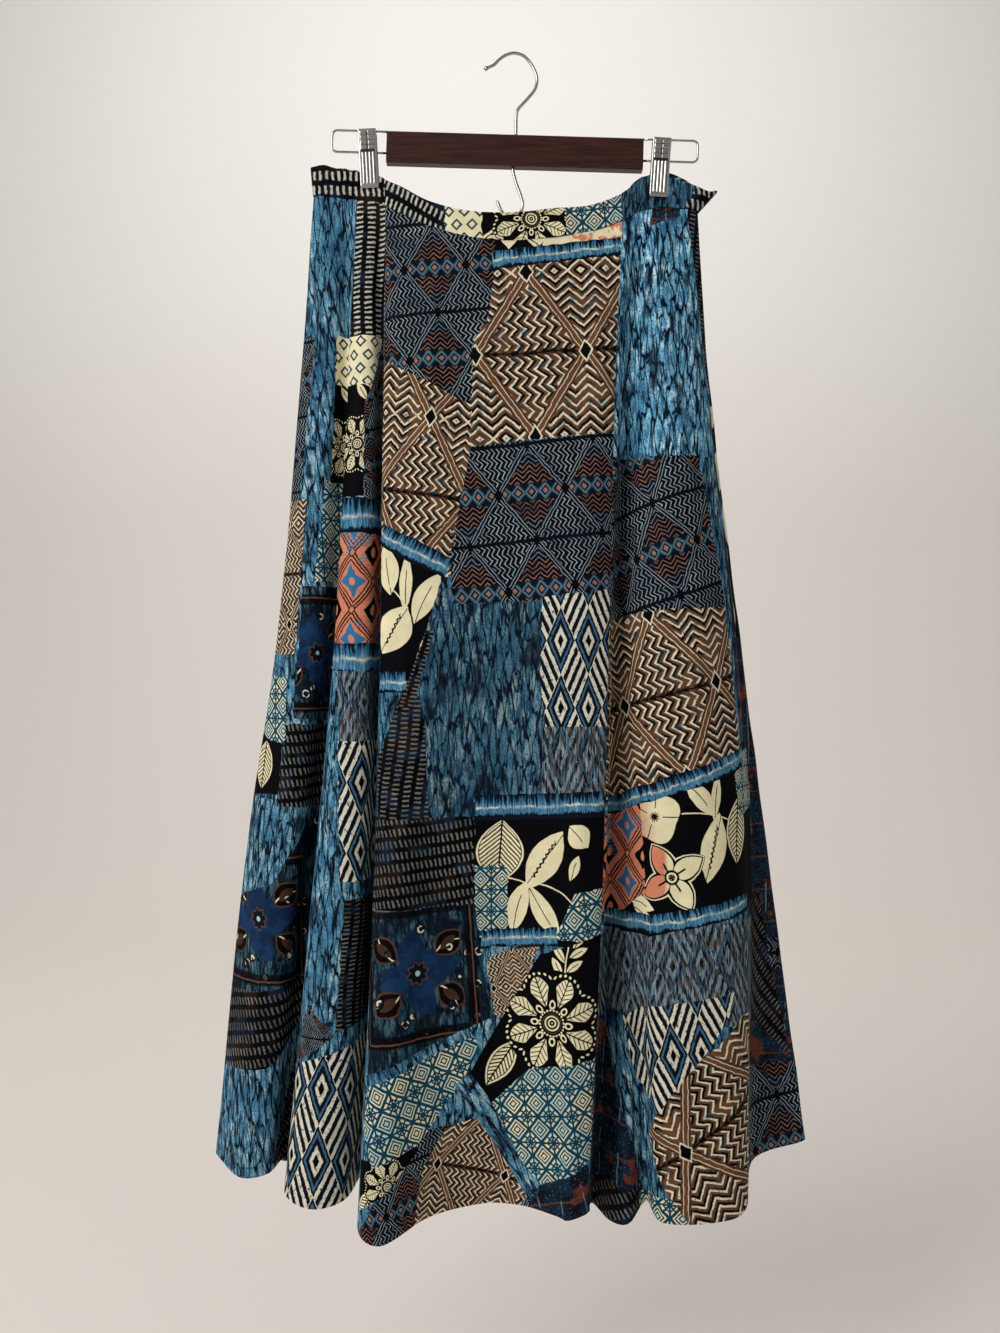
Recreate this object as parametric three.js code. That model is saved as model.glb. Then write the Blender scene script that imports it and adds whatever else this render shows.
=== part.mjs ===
// Patchwork maxi skirt hanging from a wooden clip hanger.
// Millimetres, +Z up, front faces -Y. The origin is the inner top of the hanger's hook.
import * as THREE from 'three';

// ---- driving dimensions -------------------------------------------------------------------
const SEAM_GAP = 0.3; // between pieces that meet
const CLOTH_WALL = 1.2; // thin woven cloth
const BAND_WALL = 1.2; // waistband, cloth on itself
const BAND_PROUD = 0.15; // the band stands this far outside the panels

const GATHERS = 34; // gathers round the elastic back
const GATHER_DEPTH = 1.1; // half height of a gather at the seam
const GATHER_FADE = 0.16; // share of the skirt's length in which the gathers die out
const FULL_GATHER_HOLLOW = 8; // added space between front and back that lets a gather stand full
const CLAMPED_HOLLOW = 4; // space between front and back where the clips press them
const CLAMPED_GATHER = 0.25; // share of a gather's depth that is left there
const SMOOTH_END = 15; // mm beside a side seam in which the gathers grow

const FRONT_COLUMNS = 52; // facets across the front panel
const BAND_FRONT_COLUMNS = 28; // facets across the front waistband
const BACK_COLUMNS = 96; // facets across the back panel below the gathers
const GATHER_FACETS = 2; // back facets at the seam for each one lower down
const LENGTH_ROWS = 13; // facets down each panel
const GATHER_ROWS = 3; // of these, rows that carry the gathers
const BAND_ROWS = 2; // facets down the waistband

const HANGER_TILT = 1.7; // degrees, right end low
const BAR = { length: 245.6, height: 30, depth: 12, corner: 2.2, centreX: 4.2, top: -78.8 };
const WIRE_RADIUS = 1.1;
const HOOK_WIRE_RADIUS = 1.5;
const HOOK_TIP_RADIUS = 2.3;
const LOOP = { reach: 52.5, height: 20.6, corner: 5, upperZ: -77.6 };
const CLIP = {
  width: 17.5, above: 20.5, below: 36, plate: 1, tailSpread: 5.4, lipSpread: 3.3, lipFlare: 1.6,
  springInner: 1.4, springOuter: 3, springLength: 11,
};
const CLIPS = [ // place along the bar's end wire and lean to it, in degrees
  { side: 'left', x: -136.4, lean: -4.6 },
  { side: 'right', x: 144.2, lean: 2.1 },
];

// ---- the skirt's folds ----------------------------------------------------------------------
// One row for each crest, face or trough met going round from the left edge across the front,
// round the right edge and back behind. Columns are levels: the band's rim, the waist seam,
// hip, thigh, calf and hem. x and y place the cloth's middle at each level, rim, seam and hem
// are heights.
const LEVELS = [0, 0.175, 0.455, 0.7, 1]; // seam, hip, thigh, calf and hem, as shares of length
const FOLDS = [
  { name: 'left edge', rim: -109, seam: -136, hem: -1054,
    x: [-192, -190, -201, -223, -254, -281], y: [-1, -1.5, -4, -7, -9, -8] },
  { name: 'lobe 1 front', rim: -108, seam: -138, hem: -1061,
    x: [-181, -180, -187, -202, -229, -254], y: [-3, -4, -12, -24, -32, -36] },
  { name: 'lobe 1 inner', rim: -111, seam: -139, hem: -1059,
    x: [-168, -168, -172, -184, -206, -229], y: [-2.6, -3.6, -14, -24, -32, -34] },
  { name: 'valley 1 floor', rim: -112, seam: -140, hem: -1055,
    x: [-159, -159, -163, -175, -196, -220], y: [-2.2, -2.8, -6, -8, -10, -12] },
  { name: 'valley 1', rim: -113, seam: -140, hem: -1056,
    x: [-153, -153, -157, -168, -188, -212], y: [-1.9, -2.4, -6, -8, -10, -12] },
  { name: 'nose 2', rim: -114, seam: -141, hem: -1068,
    x: [-148, -148, -155, -167, -184, -208], y: [-1.6, -2, -14, -26, -42, -54] },
  { name: 'lobe 2 face', rim: -115, seam: -141, hem: -1075,
    x: [-141, -141, -144, -152, -164, -183], y: [-1.6, -2, -22, -38, -54, -68] },
  { name: 'lobe 2 right', rim: -116, seam: -142, hem: -1072,
    x: [-135, -134, -133, -135, -141, -155], y: [-1.6, -2, -20, -34, -48, -58] },
  { name: 'valley 2 floor', rim: -118, seam: -144, hem: -1064,
    x: [-130, -130, -127.5, -128, -132, -143], y: [-1.7, -2.4, -9, -13, -19, -27] },
  { name: 'valley 2', rim: -119, seam: -145, hem: -1065,
    x: [-126, -125, -122, -121, -125, -135], y: [-1.9, -3, -9, -13, -19, -26] },
  { name: 'nose 3', rim: -123, seam: -149, hem: -1080,
    x: [-120, -119, -121, -123, -127, -138], y: [-3, -5, -22, -42, -62, -90] },
  { name: 'front 1', rim: -130, seam: -156, hem: -1088,
    x: [-106, -106, -106, -106, -107, -116], y: [-5, -7, -31, -50, -74, -106] },
  { name: 'front 2', rim: -144, seam: -168, hem: -1077,
    x: [-80, -79, -78, -77, -76, -78], y: [-7, -9, -34, -51, -66, -80] },
  { name: 'front 3', rim: -154, seam: -179, hem: -1073,
    x: [-43, -43, -41, -40, -40, -33], y: [-9, -11, -34, -48, -57, -62] },
  { name: 'front 4', rim: -156, seam: -183, hem: -1073,
    x: [-3, -3, -4, -2, 0, 5], y: [-10, -12, -34, -50, -60, -64] },
  { name: 'front 5', rim: -152, seam: -180, hem: -1074,
    x: [35, 35, 35, 35, 34, 37], y: [-9, -11, -36, -54, -69, -82] },
  { name: 'front 6', rim: -148, seam: -173, hem: -1073,
    x: [73, 75, 66, 60, 54, 47], y: [-7, -9, -37, -57, -77, -92] },
  { name: 'nose 4', rim: -136, seam: -162, hem: -1070,
    x: [103, 104, 95, 87, 79, 65], y: [-5, -8, -29, -48, -68, -84] },
  { name: 'valley 3', rim: -123, seam: -153, hem: -1076,
    x: [117, 119, 102, 90, 81, 68], y: [-2.4, -3.8, -18, -30, -43, -58] },
  { name: 'valley 3 floor', rim: -119, seam: -151, hem: -1085,
    x: [122, 124, 107, 95, 86, 74], y: [-1.8, -3, -12, -19, -26, -37] },
  { name: 'tongue left', rim: -118, seam: -150, hem: -1092,
    x: [125.5, 127.5, 112, 101, 94, 87], y: [-1.8, -2.6, -14, -23, -31, -53] },
  { name: 'tongue', rim: -117, seam: -150, hem: -1089,
    x: [129, 131, 117, 107, 104, 103], y: [-1.8, -2.4, -18, -28, -39, -66] },
  { name: 'notch', rim: -115, seam: -148, hem: -1076,
    x: [133, 135, 124, 116, 115, 121], y: [-1.6, -2, -25, -38, -46, -50] },
  { name: 'right face', rim: -114, seam: -147, hem: -1084,
    x: [140, 141, 140, 137, 133, 133], y: [-1.6, -2, -32, -51, -64, -74] },
  { name: 'right middle', rim: -119, seam: -148, hem: -1083,
    x: [148, 150, 161, 170, 175, 178], y: [-1.8, -3, -30, -48, -64, -76] },
  { name: 'right nose', rim: -126, seam: -151, hem: -1078,
    x: [166, 159, 177, 201, 210, 209], y: [-6, -7, -19, -30, -46, -62] },
  { name: 'valley 4', rim: -133, seam: -151, hem: -1052,
    x: [184, 169, 184, 210, 226, 225], y: [-5, -5, -8, -12, -15, -20] },
  { name: 'right edge', rim: -131, seam: -152, hem: -1040,
    x: [194, 176, 186, 215, 242, 274], y: [-1, -1.5, -4, -6, -7, -8] },
  { name: 'right edge back', rim: -131, seam: -152, hem: -1040,
    x: [193, 175, 185, 214, 241, 273], y: [1.5, 2, 1, 1, 1, 0] },
  { name: 'back 1', rim: -128, seam: -148, hem: -1043,
    x: [180, 167, 176, 195, 217, 245], y: [4, 5, 6, 6, 6, 6] },
  { name: 'back trough 1', rim: -118, seam: -146, hem: -1053,
    x: [163, 159, 162, 171, 186, 207], y: [2.4, 2.8, 4, 0, -4, -9] },
  { name: 'back 2', rim: -113, seam: -146, hem: -1056,
    x: [141, 142, 138, 142, 152, 171], y: [1.6, 2, 8, 9, 10, 10] },
  { name: 'back trough 2', rim: -128, seam: -157, hem: -1060,
    x: [114, 114, 112, 114, 118, 128], y: [2.8, 3.2, 5, 1, -3, -8] },
  { name: 'back 3', rim: -149, seam: -172, hem: -1062,
    x: [84, 84, 84, 84, 83, 83], y: [5, 6, 8, 9, 10, 10] },
  { name: 'back trough 3', rim: -153, seam: -178, hem: -1062,
    x: [46, 46, 46, 46, 46, 46], y: [6.5, 7, 6, 2, -3, -10] },
  { name: 'back 4', rim: -155, seam: -181, hem: -1064,
    x: [7, 7, 7, 7, 7, 7], y: [7, 8, 9, 10, 10, 10] },
  { name: 'back trough 4', rim: -153, seam: -178, hem: -1062,
    x: [-32, -32, -32, -33, -36, -36], y: [6.5, 7, 6, 1, -4, -8] },
  { name: 'back 5', rim: -149, seam: -172, hem: -1062,
    x: [-71, -71, -71, -74, -80, -80], y: [5, 6, 8, 9, 10, 10] },
  { name: 'back trough 5', rim: -129, seam: -153, hem: -1060,
    x: [-108, -108, -108, -112, -120, -124], y: [2.8, 3.2, 5, 1, -3, -10] },
  { name: 'back 6', rim: -114, seam: -139, hem: -1060,
    x: [-140, -140, -142, -148, -158, -168], y: [1.6, 2, 8, 9, 10, 10] },
  { name: 'back trough 6', rim: -109, seam: -136, hem: -1060,
    x: [-160, -160, -163, -174, -190, -207], y: [2.2, 2.8, 4, 0, -4, -6] },
  { name: 'back 7', rim: -108, seam: -135, hem: -1060,
    x: [-178, -177, -184, -202, -224, -248], y: [3, 4, 6, 6, 6, 6] },
  { name: 'left edge back', rim: -109, seam: -136, hem: -1053,
    x: [-191, -189, -200, -222, -253, -280], y: [1.5, 2, 1, 1, 0, 0] },
];
const foldNumber = (name) => FOLDS.findIndex((fold) => fold.name === name);
const LEFT_SEAM = foldNumber('nose 3') - 0.5; // the side seams, as fold numbers
const RIGHT_SEAM = foldNumber('nose 4');

// ---- smooth surface through the folds -------------------------------------------------------
/** Cubic through four evenly spaced values, used round the ring. */
function cubic(a, b, c, d, t) {
  return b + 0.5 * t * (c - a + t * (2 * a - 5 * b + 4 * c - d + t * (3 * (b - c) + d - a)));
}

/** Value at share v of the length of a fold's column, smooth through the levels. */
function alongLength(values, v) {
  let k = 0;
  while (k < LEVELS.length - 2 && v > LEVELS[k + 1]) k += 1;
  const slope = (i) => {
    const low = Math.max(i - 1, 0);
    const high = Math.min(i + 1, LEVELS.length - 1);
    return (values[high] - values[low]) / (LEVELS[high] - LEVELS[low]);
  };
  const span = LEVELS[k + 1] - LEVELS[k];
  const t = (v - LEVELS[k]) / span;
  const t2 = t * t;
  const t3 = t2 * t;
  return (2 * t3 - 3 * t2 + 1) * values[k] + (t3 - 2 * t2 + t) * span * slope(k)
    + (3 * t2 - 2 * t3) * values[k + 1] + (t3 - t2) * span * slope(k + 1);
}

/** Closed ring through one value per fold, at fractional fold number u. */
function roundRing(valueOf, u) {
  const count = FOLDS.length;
  const wrapped = ((u % count) + count) % count;
  const i = Math.floor(wrapped);
  const at = (step) => valueOf(FOLDS[(i + step + count) % count]);
  return cubic(at(-1), at(0), at(1), at(2), wrapped - i);
}

/** Point of the cloth's middle below the seam: u round the ring, v down the length. */
function panelPoint(u, v) {
  return new THREE.Vector3(
    roundRing((fold) => alongLength(fold.x.slice(1), v), u),
    roundRing((fold) => alongLength(fold.y.slice(1), v), u),
    roundRing((fold) => fold.seam + (fold.hem - fold.seam) * v, u),
  );
}

/** Point of the waistband's middle: v is 0 at the rim and 1 at the seam. */
function bandPoint(u, v) {
  const mix = (pair) => pair[0] + (pair[1] - pair[0]) * v;
  return new THREE.Vector3(
    roundRing((fold) => mix(fold.x), u),
    roundRing((fold) => mix(fold.y), u),
    roundRing((fold) => mix([fold.rim, fold.seam]), u),
  );
}

/** Level unit normal that points out of the ring. */
function outward(point, u, v) {
  const du = 0.02;
  const across = point(u + du, v).sub(point(u - du, v));
  return new THREE.Vector3(across.y, -across.x, 0).normalize();
}

/** Half a seam gap as a change of u. */
function halfGap(point, u, v) {
  const du = 0.01;
  return (SEAM_GAP * du) / point(u + du, v).distanceTo(point(u - du, v));
}

/**
 * Running length of the cloth from one value of u to another, the mean of some levels plus a
 * bonus for each fold, as a table with the two ways to read it.
 */
function runningLength([uStart, uEnd], levels, foldBonus) {
  const samples = 400;
  const uAt = (i) => uStart + ((uEnd - uStart) * i) / samples;
  const lengths = [0];
  for (let i = 1; i <= samples; i += 1) {
    const step = levels.map((v) => panelPoint(uAt(i), v).distanceTo(panelPoint(uAt(i - 1), v)));
    const mean = step.reduce((sum, value) => sum + value, 0) / levels.length;
    lengths.push(lengths[i - 1] + mean + foldBonus * (uAt(i) - uAt(i - 1)));
  }
  const total = lengths[samples];
  return {
    total,
    lengthAt(u) {
      const i = Math.min(samples - 1e-9, Math.max(0, ((u - uStart) / (uEnd - uStart)) * samples));
      const k = Math.floor(i);
      return lengths[k] + (lengths[k + 1] - lengths[k]) * (i - k);
    },
    uAtShare(share) {
      const length = share * total;
      let k = 0;
      while (k < samples - 1 && lengths[k + 1] < length) k += 1;
      return uAt(k + (length - lengths[k]) / (lengths[k + 1] - lengths[k]));
    },
  };
}

const FRONT_SPAN = [LEFT_SEAM, RIGHT_SEAM];
const BACK_SPAN = [RIGHT_SEAM, LEFT_SEAM + FOLDS.length];
const SPREAD_LEVELS = [0, 0, 0.5, 1]; // facets are even in the mean of these levels
const FOLD_BONUS = 12; // mm added for each fold, so that tight ones get facets too
const frontSpread = runningLength(FRONT_SPAN, SPREAD_LEVELS, FOLD_BONUS);
const backSpread = runningLength(BACK_SPAN, SPREAD_LEVELS, FOLD_BONUS);
const backSeam = runningLength(BACK_SPAN, [0], 0);

/** Height of the gathers at u and v: small where the clips press the waist flat. */
function gather(u, v) {
  const along = backSeam.lengthAt(u);
  const ends = Math.min(1, along / SMOOTH_END, (backSeam.total - along) / SMOOTH_END);
  const hollow = 2 * Math.abs(panelPoint(u, 0).y);
  const room = Math.min(1, Math.max(CLAMPED_GATHER, (hollow - CLAMPED_HOLLOW) / FULL_GATHER_HOLLOW));
  const fade = Math.max(0, 1 - v / GATHER_FADE);
  return GATHER_DEPTH * fade * ends * room * Math.sin((2 * Math.PI * GATHERS * along) / backSeam.total);
}

// ---- closed walls ---------------------------------------------------------------------------
/** Indexed triangles to a geometry. */
function solid(positions, triangles) {
  const geometry = new THREE.BufferGeometry();
  geometry.setAttribute('position', new THREE.Float32BufferAttribute(positions, 3));
  geometry.setIndex(triangles);
  geometry.computeVertexNormals();
  return geometry;
}

/**
 * A wall of cloth between two values of u. levels is a list of { v, columns }: where one level
 * has a multiple of the next one's columns, the strip between them is fanned.
 */
function wall(point, wave, [uStart, uEnd], spread, levels, thickness, proud) {
  const positions = [];
  const triangles = [];
  const rings = levels.map(({ v, columns }) => {
    const skins = { outer: [], inner: [] };
    const from = uStart + halfGap(point, uStart, v);
    const to = uEnd - halfGap(point, uEnd, v);
    for (let c = 0; c <= columns; c += 1) {
      const u = Math.min(to, Math.max(from, spread.uAtShare(c / columns)));
      const normal = outward(point, u, v);
      const middle = point(u, v).addScaledVector(normal, wave(u, v));
      for (const [skin, offset] of [['outer', thickness / 2 + proud], ['inner', -thickness / 2 + proud]]) {
        const p = middle.clone().addScaledVector(normal, offset);
        skins[skin].push(positions.length / 3);
        positions.push(p.x, p.y, p.z);
      }
    }
    return skins;
  });
  const face = (a, b, c, flip) => triangles.push(...(flip ? [a, c, b] : [a, b, c]));
  const strip = (upper, lower, flip) => {
    const ratio = (upper.length - 1) / (lower.length - 1);
    for (let c = 0; c < lower.length - 1; c += 1) {
      const first = c * ratio;
      const turn = first + Math.floor(ratio / 2);
      for (let k = first; k < first + ratio; k += 1) {
        face(upper[k], k < turn ? lower[c] : lower[c + 1], upper[k + 1], flip);
      }
      face(upper[turn], lower[c], lower[c + 1], flip);
    }
  };
  for (let r = 0; r < rings.length - 1; r += 1) {
    strip(rings[r].outer, rings[r + 1].outer, false);
    strip(rings[r].inner, rings[r + 1].inner, true);
  }
  const edge = (outer, inner, flip) => {
    for (let k = 0; k < outer.length - 1; k += 1) {
      face(outer[k], inner[k], outer[k + 1], flip);
      face(inner[k], inner[k + 1], outer[k + 1], flip);
    }
  };
  const last = rings.length - 1;
  edge(rings[0].outer, rings[0].inner, true);
  edge(rings[last].outer, rings[last].inner, false);
  const side = (pick) => ({
    outer: rings.map((ring) => pick(ring.outer)),
    inner: rings.map((ring) => pick(ring.inner)),
  });
  const start = side((list) => list[0]);
  const end = side((list) => list[list.length - 1]);
  edge(start.outer, start.inner, false);
  edge(end.outer, end.inner, true);
  return solid(positions, triangles);
}

/** Levels down a panel, with finer columns in the gathered rows. */
function panelLevels(columns, facets, topShare) {
  return Array.from({ length: LENGTH_ROWS + 1 }, (_, row) => ({
    v: row <= GATHER_ROWS
      ? topShare + ((GATHER_FADE - topShare) * row) / GATHER_ROWS
      : GATHER_FADE + ((1 - GATHER_FADE) * (row - GATHER_ROWS)) / (LENGTH_ROWS - GATHER_ROWS),
    columns: row < GATHER_ROWS ? columns * facets : columns,
  }));
}

/** Wire of round section along points, its ends capped, the last one as a ball if asked. */
function wire(points, radius, sides, steps, ballRadius = 0) {
  const curve = new THREE.CatmullRomCurve3(points.map((p) => new THREE.Vector3(...p)), false, 'centripetal');
  const frames = curve.computeFrenetFrames(steps, false);
  const stations = Array.from({ length: steps + 1 }, (_, i) => ({
    at: curve.getPointAt(i / steps), frame: i, radius,
  }));
  if (ballRadius) {
    const end = stations[steps].at;
    const ahead = frames.tangents[steps];
    for (const angle of [-50, -10, 30, 65]) {
      const turn = THREE.MathUtils.degToRad(angle);
      stations.push({
        at: end.clone().addScaledVector(ahead, ballRadius * (1 + Math.sin(turn))),
        frame: steps, radius: ballRadius * Math.cos(turn),
      });
    }
  }
  const positions = [];
  const triangles = [];
  for (const { at, frame, radius: r } of stations) {
    for (let s = 0; s < sides; s += 1) {
      const turn = (2 * Math.PI * s) / sides;
      const p = at.clone()
        .addScaledVector(frames.normals[frame], r * Math.cos(turn))
        .addScaledVector(frames.binormals[frame], r * Math.sin(turn));
      positions.push(p.x, p.y, p.z);
    }
  }
  for (let i = 0; i < stations.length - 1; i += 1) {
    for (let s = 0; s < sides; s += 1) {
      const a = i * sides + s;
      const b = i * sides + ((s + 1) % sides);
      triangles.push(a, b, a + sides, b, b + sides, a + sides);
    }
  }
  const top = (stations.length - 1) * sides;
  for (let s = 1; s < sides - 1; s += 1) {
    triangles.push(0, s + 1, s, top, top + s, top + s + 1);
  }
  return solid(positions, triangles);
}

// ---- materials ------------------------------------------------------------------------------
const cloth = (color) => new THREE.MeshStandardMaterial({ color, roughness: 0.85, metalness: 0 });
const wood = () => new THREE.MeshStandardMaterial({ color: 0x3a1712, roughness: 0.45, metalness: 0 });
const chrome = () => new THREE.MeshStandardMaterial({ color: 0xc9c9cb, roughness: 0.25, metalness: 1 });

const part = new THREE.Group();

/** Adds a named mesh to a group and returns it. */
function add(name, geometry, material, group = part) {
  const mesh = new THREE.Mesh(geometry, material);
  mesh.name = name;
  group.add(mesh);
  return mesh;
}

// ---- skirt ----------------------------------------------------------------------------------
const smooth = () => 0;
const PANEL_LENGTH = 925;
const BAND_HEIGHT = 27;
const panelTop = SEAM_GAP / 2 / PANEL_LENGTH;
const bandEnd = 1 - SEAM_GAP / 2 / BAND_HEIGHT;
const bandLevels = (columns) => Array.from({ length: BAND_ROWS + 1 }, (_, row) => (
  { v: (bandEnd * row) / BAND_ROWS, columns }));
const bandGather = (u) => gather(u, 0);

add('skirt_front_panel', wall(
  panelPoint, smooth, FRONT_SPAN, frontSpread,
  panelLevels(FRONT_COLUMNS, 1, panelTop), CLOTH_WALL, 0,
), cloth(0x3f5a70));
add('skirt_back_panel', wall(
  panelPoint, gather, BACK_SPAN, backSpread,
  panelLevels(BACK_COLUMNS, GATHER_FACETS, panelTop), CLOTH_WALL, 0,
), cloth(0x2f6586));
add('waistband_front', wall(
  bandPoint, smooth, FRONT_SPAN, frontSpread,
  bandLevels(BAND_FRONT_COLUMNS), BAND_WALL, BAND_PROUD,
), cloth(0x8f9a86));
add('waistband_back', wall(
  bandPoint, bandGather, BACK_SPAN, backSpread,
  bandLevels(BACK_COLUMNS * GATHER_FACETS), BAND_WALL, BAND_PROUD,
), cloth(0x54697a));

// ---- hanger ---------------------------------------------------------------------------------
add('hanger_hook', wire([
  [2.6, 0, -78.4], [3.1, 0, -57.1], [4.4, 0, -52.8], [13.2, 0, -42.8], [20.9, 0, -32.9],
  [22.6, 0, -21.9], [17, 0, -8.8], [9.3, 0, -0.8], [0, 0, 1.5], [-8, 0, -0.9], [-13.2, 0, -4.4],
  [-18.7, 0, -9.8], [-24, 0, -12.2],
], HOOK_WIRE_RADIUS, 8, 34, HOOK_TIP_RADIUS), chrome());

add('hanger_lower_hook', wire([
  [-0.6, 0, -109.2], [-0.1, 0, -112.8], [2.8, 0, -123.4], [7.2, 0, -135.6], [9, 0, -143],
  [7.4, 0, -150.5], [-1.2, 0, -157], [-9.6, 0, -152.4], [-15.8, 0, -140.4],
], HOOK_WIRE_RADIUS, 8, 24), chrome());

// The bar, its end wires and the clips tilt together about the hook's bearing point.
const tilted = new THREE.Group();
tilted.rotation.y = THREE.MathUtils.degToRad(HANGER_TILT);
part.add(tilted);

/** Outline of a plate with rounded corners, centred on its own middle. */
function roundedPlate(width, height, corner) {
  const shape = new THREE.Shape();
  const x = width / 2;
  const y = height / 2;
  shape.absarc(x - corner, y - corner, corner, 0, Math.PI / 2);
  shape.absarc(-x + corner, y - corner, corner, Math.PI / 2, Math.PI);
  shape.absarc(-x + corner, -y + corner, corner, Math.PI, 1.5 * Math.PI);
  shape.absarc(x - corner, -y + corner, corner, 1.5 * Math.PI, 2 * Math.PI);
  return shape;
}

const barGeometry = new THREE.ExtrudeGeometry(roundedPlate(BAR.depth, BAR.height, BAR.corner), {
  depth: BAR.length, bevelEnabled: false, curveSegments: 4,
});
barGeometry.translate(0, 0, -BAR.length / 2).rotateY(Math.PI / 2).rotateX(Math.PI / 2);
const bar = add('hanger_bar', barGeometry, wood(), tilted);
bar.position.set(BAR.centreX, 0, BAR.top - BAR.height / 2);

for (const [side, sign] of [['left', -1], ['right', 1]]) {
  const root = BAR.centreX + sign * (BAR.length / 2 + SEAM_GAP);
  const tip = root + sign * LOOP.reach;
  const near = tip - sign * LOOP.corner;
  const lowerZ = LOOP.upperZ - LOOP.height;
  const round = LOOP.corner * (1 - Math.SQRT1_2);
  add(`hanger_wire_${side}`, wire([
    [root, 0, LOOP.upperZ], [(root + near) / 2, 0, LOOP.upperZ], [near, 0, LOOP.upperZ],
    [tip - sign * round, 0, LOOP.upperZ - round], [tip, 0, LOOP.upperZ - LOOP.corner],
    [tip, 0, lowerZ + LOOP.corner], [tip - sign * round, 0, lowerZ + round], [near, 0, lowerZ],
    [(root + near) / 2, 0, lowerZ], [root, 0, lowerZ],
  ], WIRE_RADIUS, 8, 30), chrome(), tilted);
}

// Each clip pinches the waistband between two plates, sprung about the lower wire.
const springY = CLIP.springOuter + SEAM_GAP;
const PLATE_PROFILE = [ // half gap between the plates, height above the wire
  [CLIP.tailSpread, CLIP.above], [springY, 8], [springY, -5], [CLIP.lipSpread, -CLIP.below + 12],
  [CLIP.lipSpread, -CLIP.below + 2.5], [CLIP.lipSpread + CLIP.lipFlare, -CLIP.below],
];

/** One sprung plate: sign is -1 for the front and 1 for the back. */
function clipPlate(sign) {
  const outline = new THREE.Shape();
  PLATE_PROFILE.forEach(([y, z], i) => (i ? outline.lineTo(sign * y, z) : outline.moveTo(sign * y, z)));
  [...PLATE_PROFILE].reverse().forEach(([y, z]) => outline.lineTo(sign * (y + CLIP.plate), z));
  const plate = new THREE.ExtrudeGeometry(outline, { depth: CLIP.width, bevelEnabled: false });
  return plate.translate(0, 0, -CLIP.width / 2).rotateX(Math.PI / 2).rotateZ(Math.PI / 2);
}

/** The coiled spring as a sleeve round the wire. */
function clipSpring() {
  const { springInner: inner, springOuter: outer, springLength: length } = CLIP;
  const section = [[inner, 0], [outer, 0], [outer, length], [inner, length], [inner, 0]]
    .map(([r, y]) => new THREE.Vector2(r, y - length / 2));
  return new THREE.LatheGeometry(section, 14).rotateZ(Math.PI / 2);
}

for (const { side, x, lean } of CLIPS) {
  const clip = new THREE.Group();
  clip.position.set(x, 0, LOOP.upperZ - LOOP.height);
  tilted.add(clip);
  const plates = new THREE.Group();
  plates.rotation.y = THREE.MathUtils.degToRad(lean);
  clip.add(plates);
  add(`clip_${side}_front`, clipPlate(-1), chrome(), plates);
  add(`clip_${side}_back`, clipPlate(1), chrome(), plates);
  add(`clip_${side}_spring`, clipSpring(), chrome(), clip);
}

export default part;
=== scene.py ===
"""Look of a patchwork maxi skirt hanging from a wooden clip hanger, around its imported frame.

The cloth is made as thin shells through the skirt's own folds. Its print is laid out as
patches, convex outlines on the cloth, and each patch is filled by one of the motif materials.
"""
import math
import random
from functools import partialmethod
from types import SimpleNamespace

import bpy
import numpy as np
from mathutils import Matrix, Vector


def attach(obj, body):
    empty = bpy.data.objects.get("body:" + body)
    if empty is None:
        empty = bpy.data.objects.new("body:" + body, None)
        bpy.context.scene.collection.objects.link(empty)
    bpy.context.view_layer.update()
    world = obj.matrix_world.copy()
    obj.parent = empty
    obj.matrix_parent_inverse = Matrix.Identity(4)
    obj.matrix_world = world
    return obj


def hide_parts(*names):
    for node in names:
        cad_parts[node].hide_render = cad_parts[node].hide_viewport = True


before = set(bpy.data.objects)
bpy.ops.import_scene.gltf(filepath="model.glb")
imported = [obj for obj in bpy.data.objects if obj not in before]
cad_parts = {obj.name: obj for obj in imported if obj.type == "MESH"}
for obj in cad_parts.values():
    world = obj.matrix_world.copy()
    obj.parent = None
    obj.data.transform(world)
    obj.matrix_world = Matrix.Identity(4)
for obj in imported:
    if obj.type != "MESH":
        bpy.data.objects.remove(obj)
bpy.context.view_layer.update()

MM = 0.001
FULL_TURN = 2 * math.pi

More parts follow.
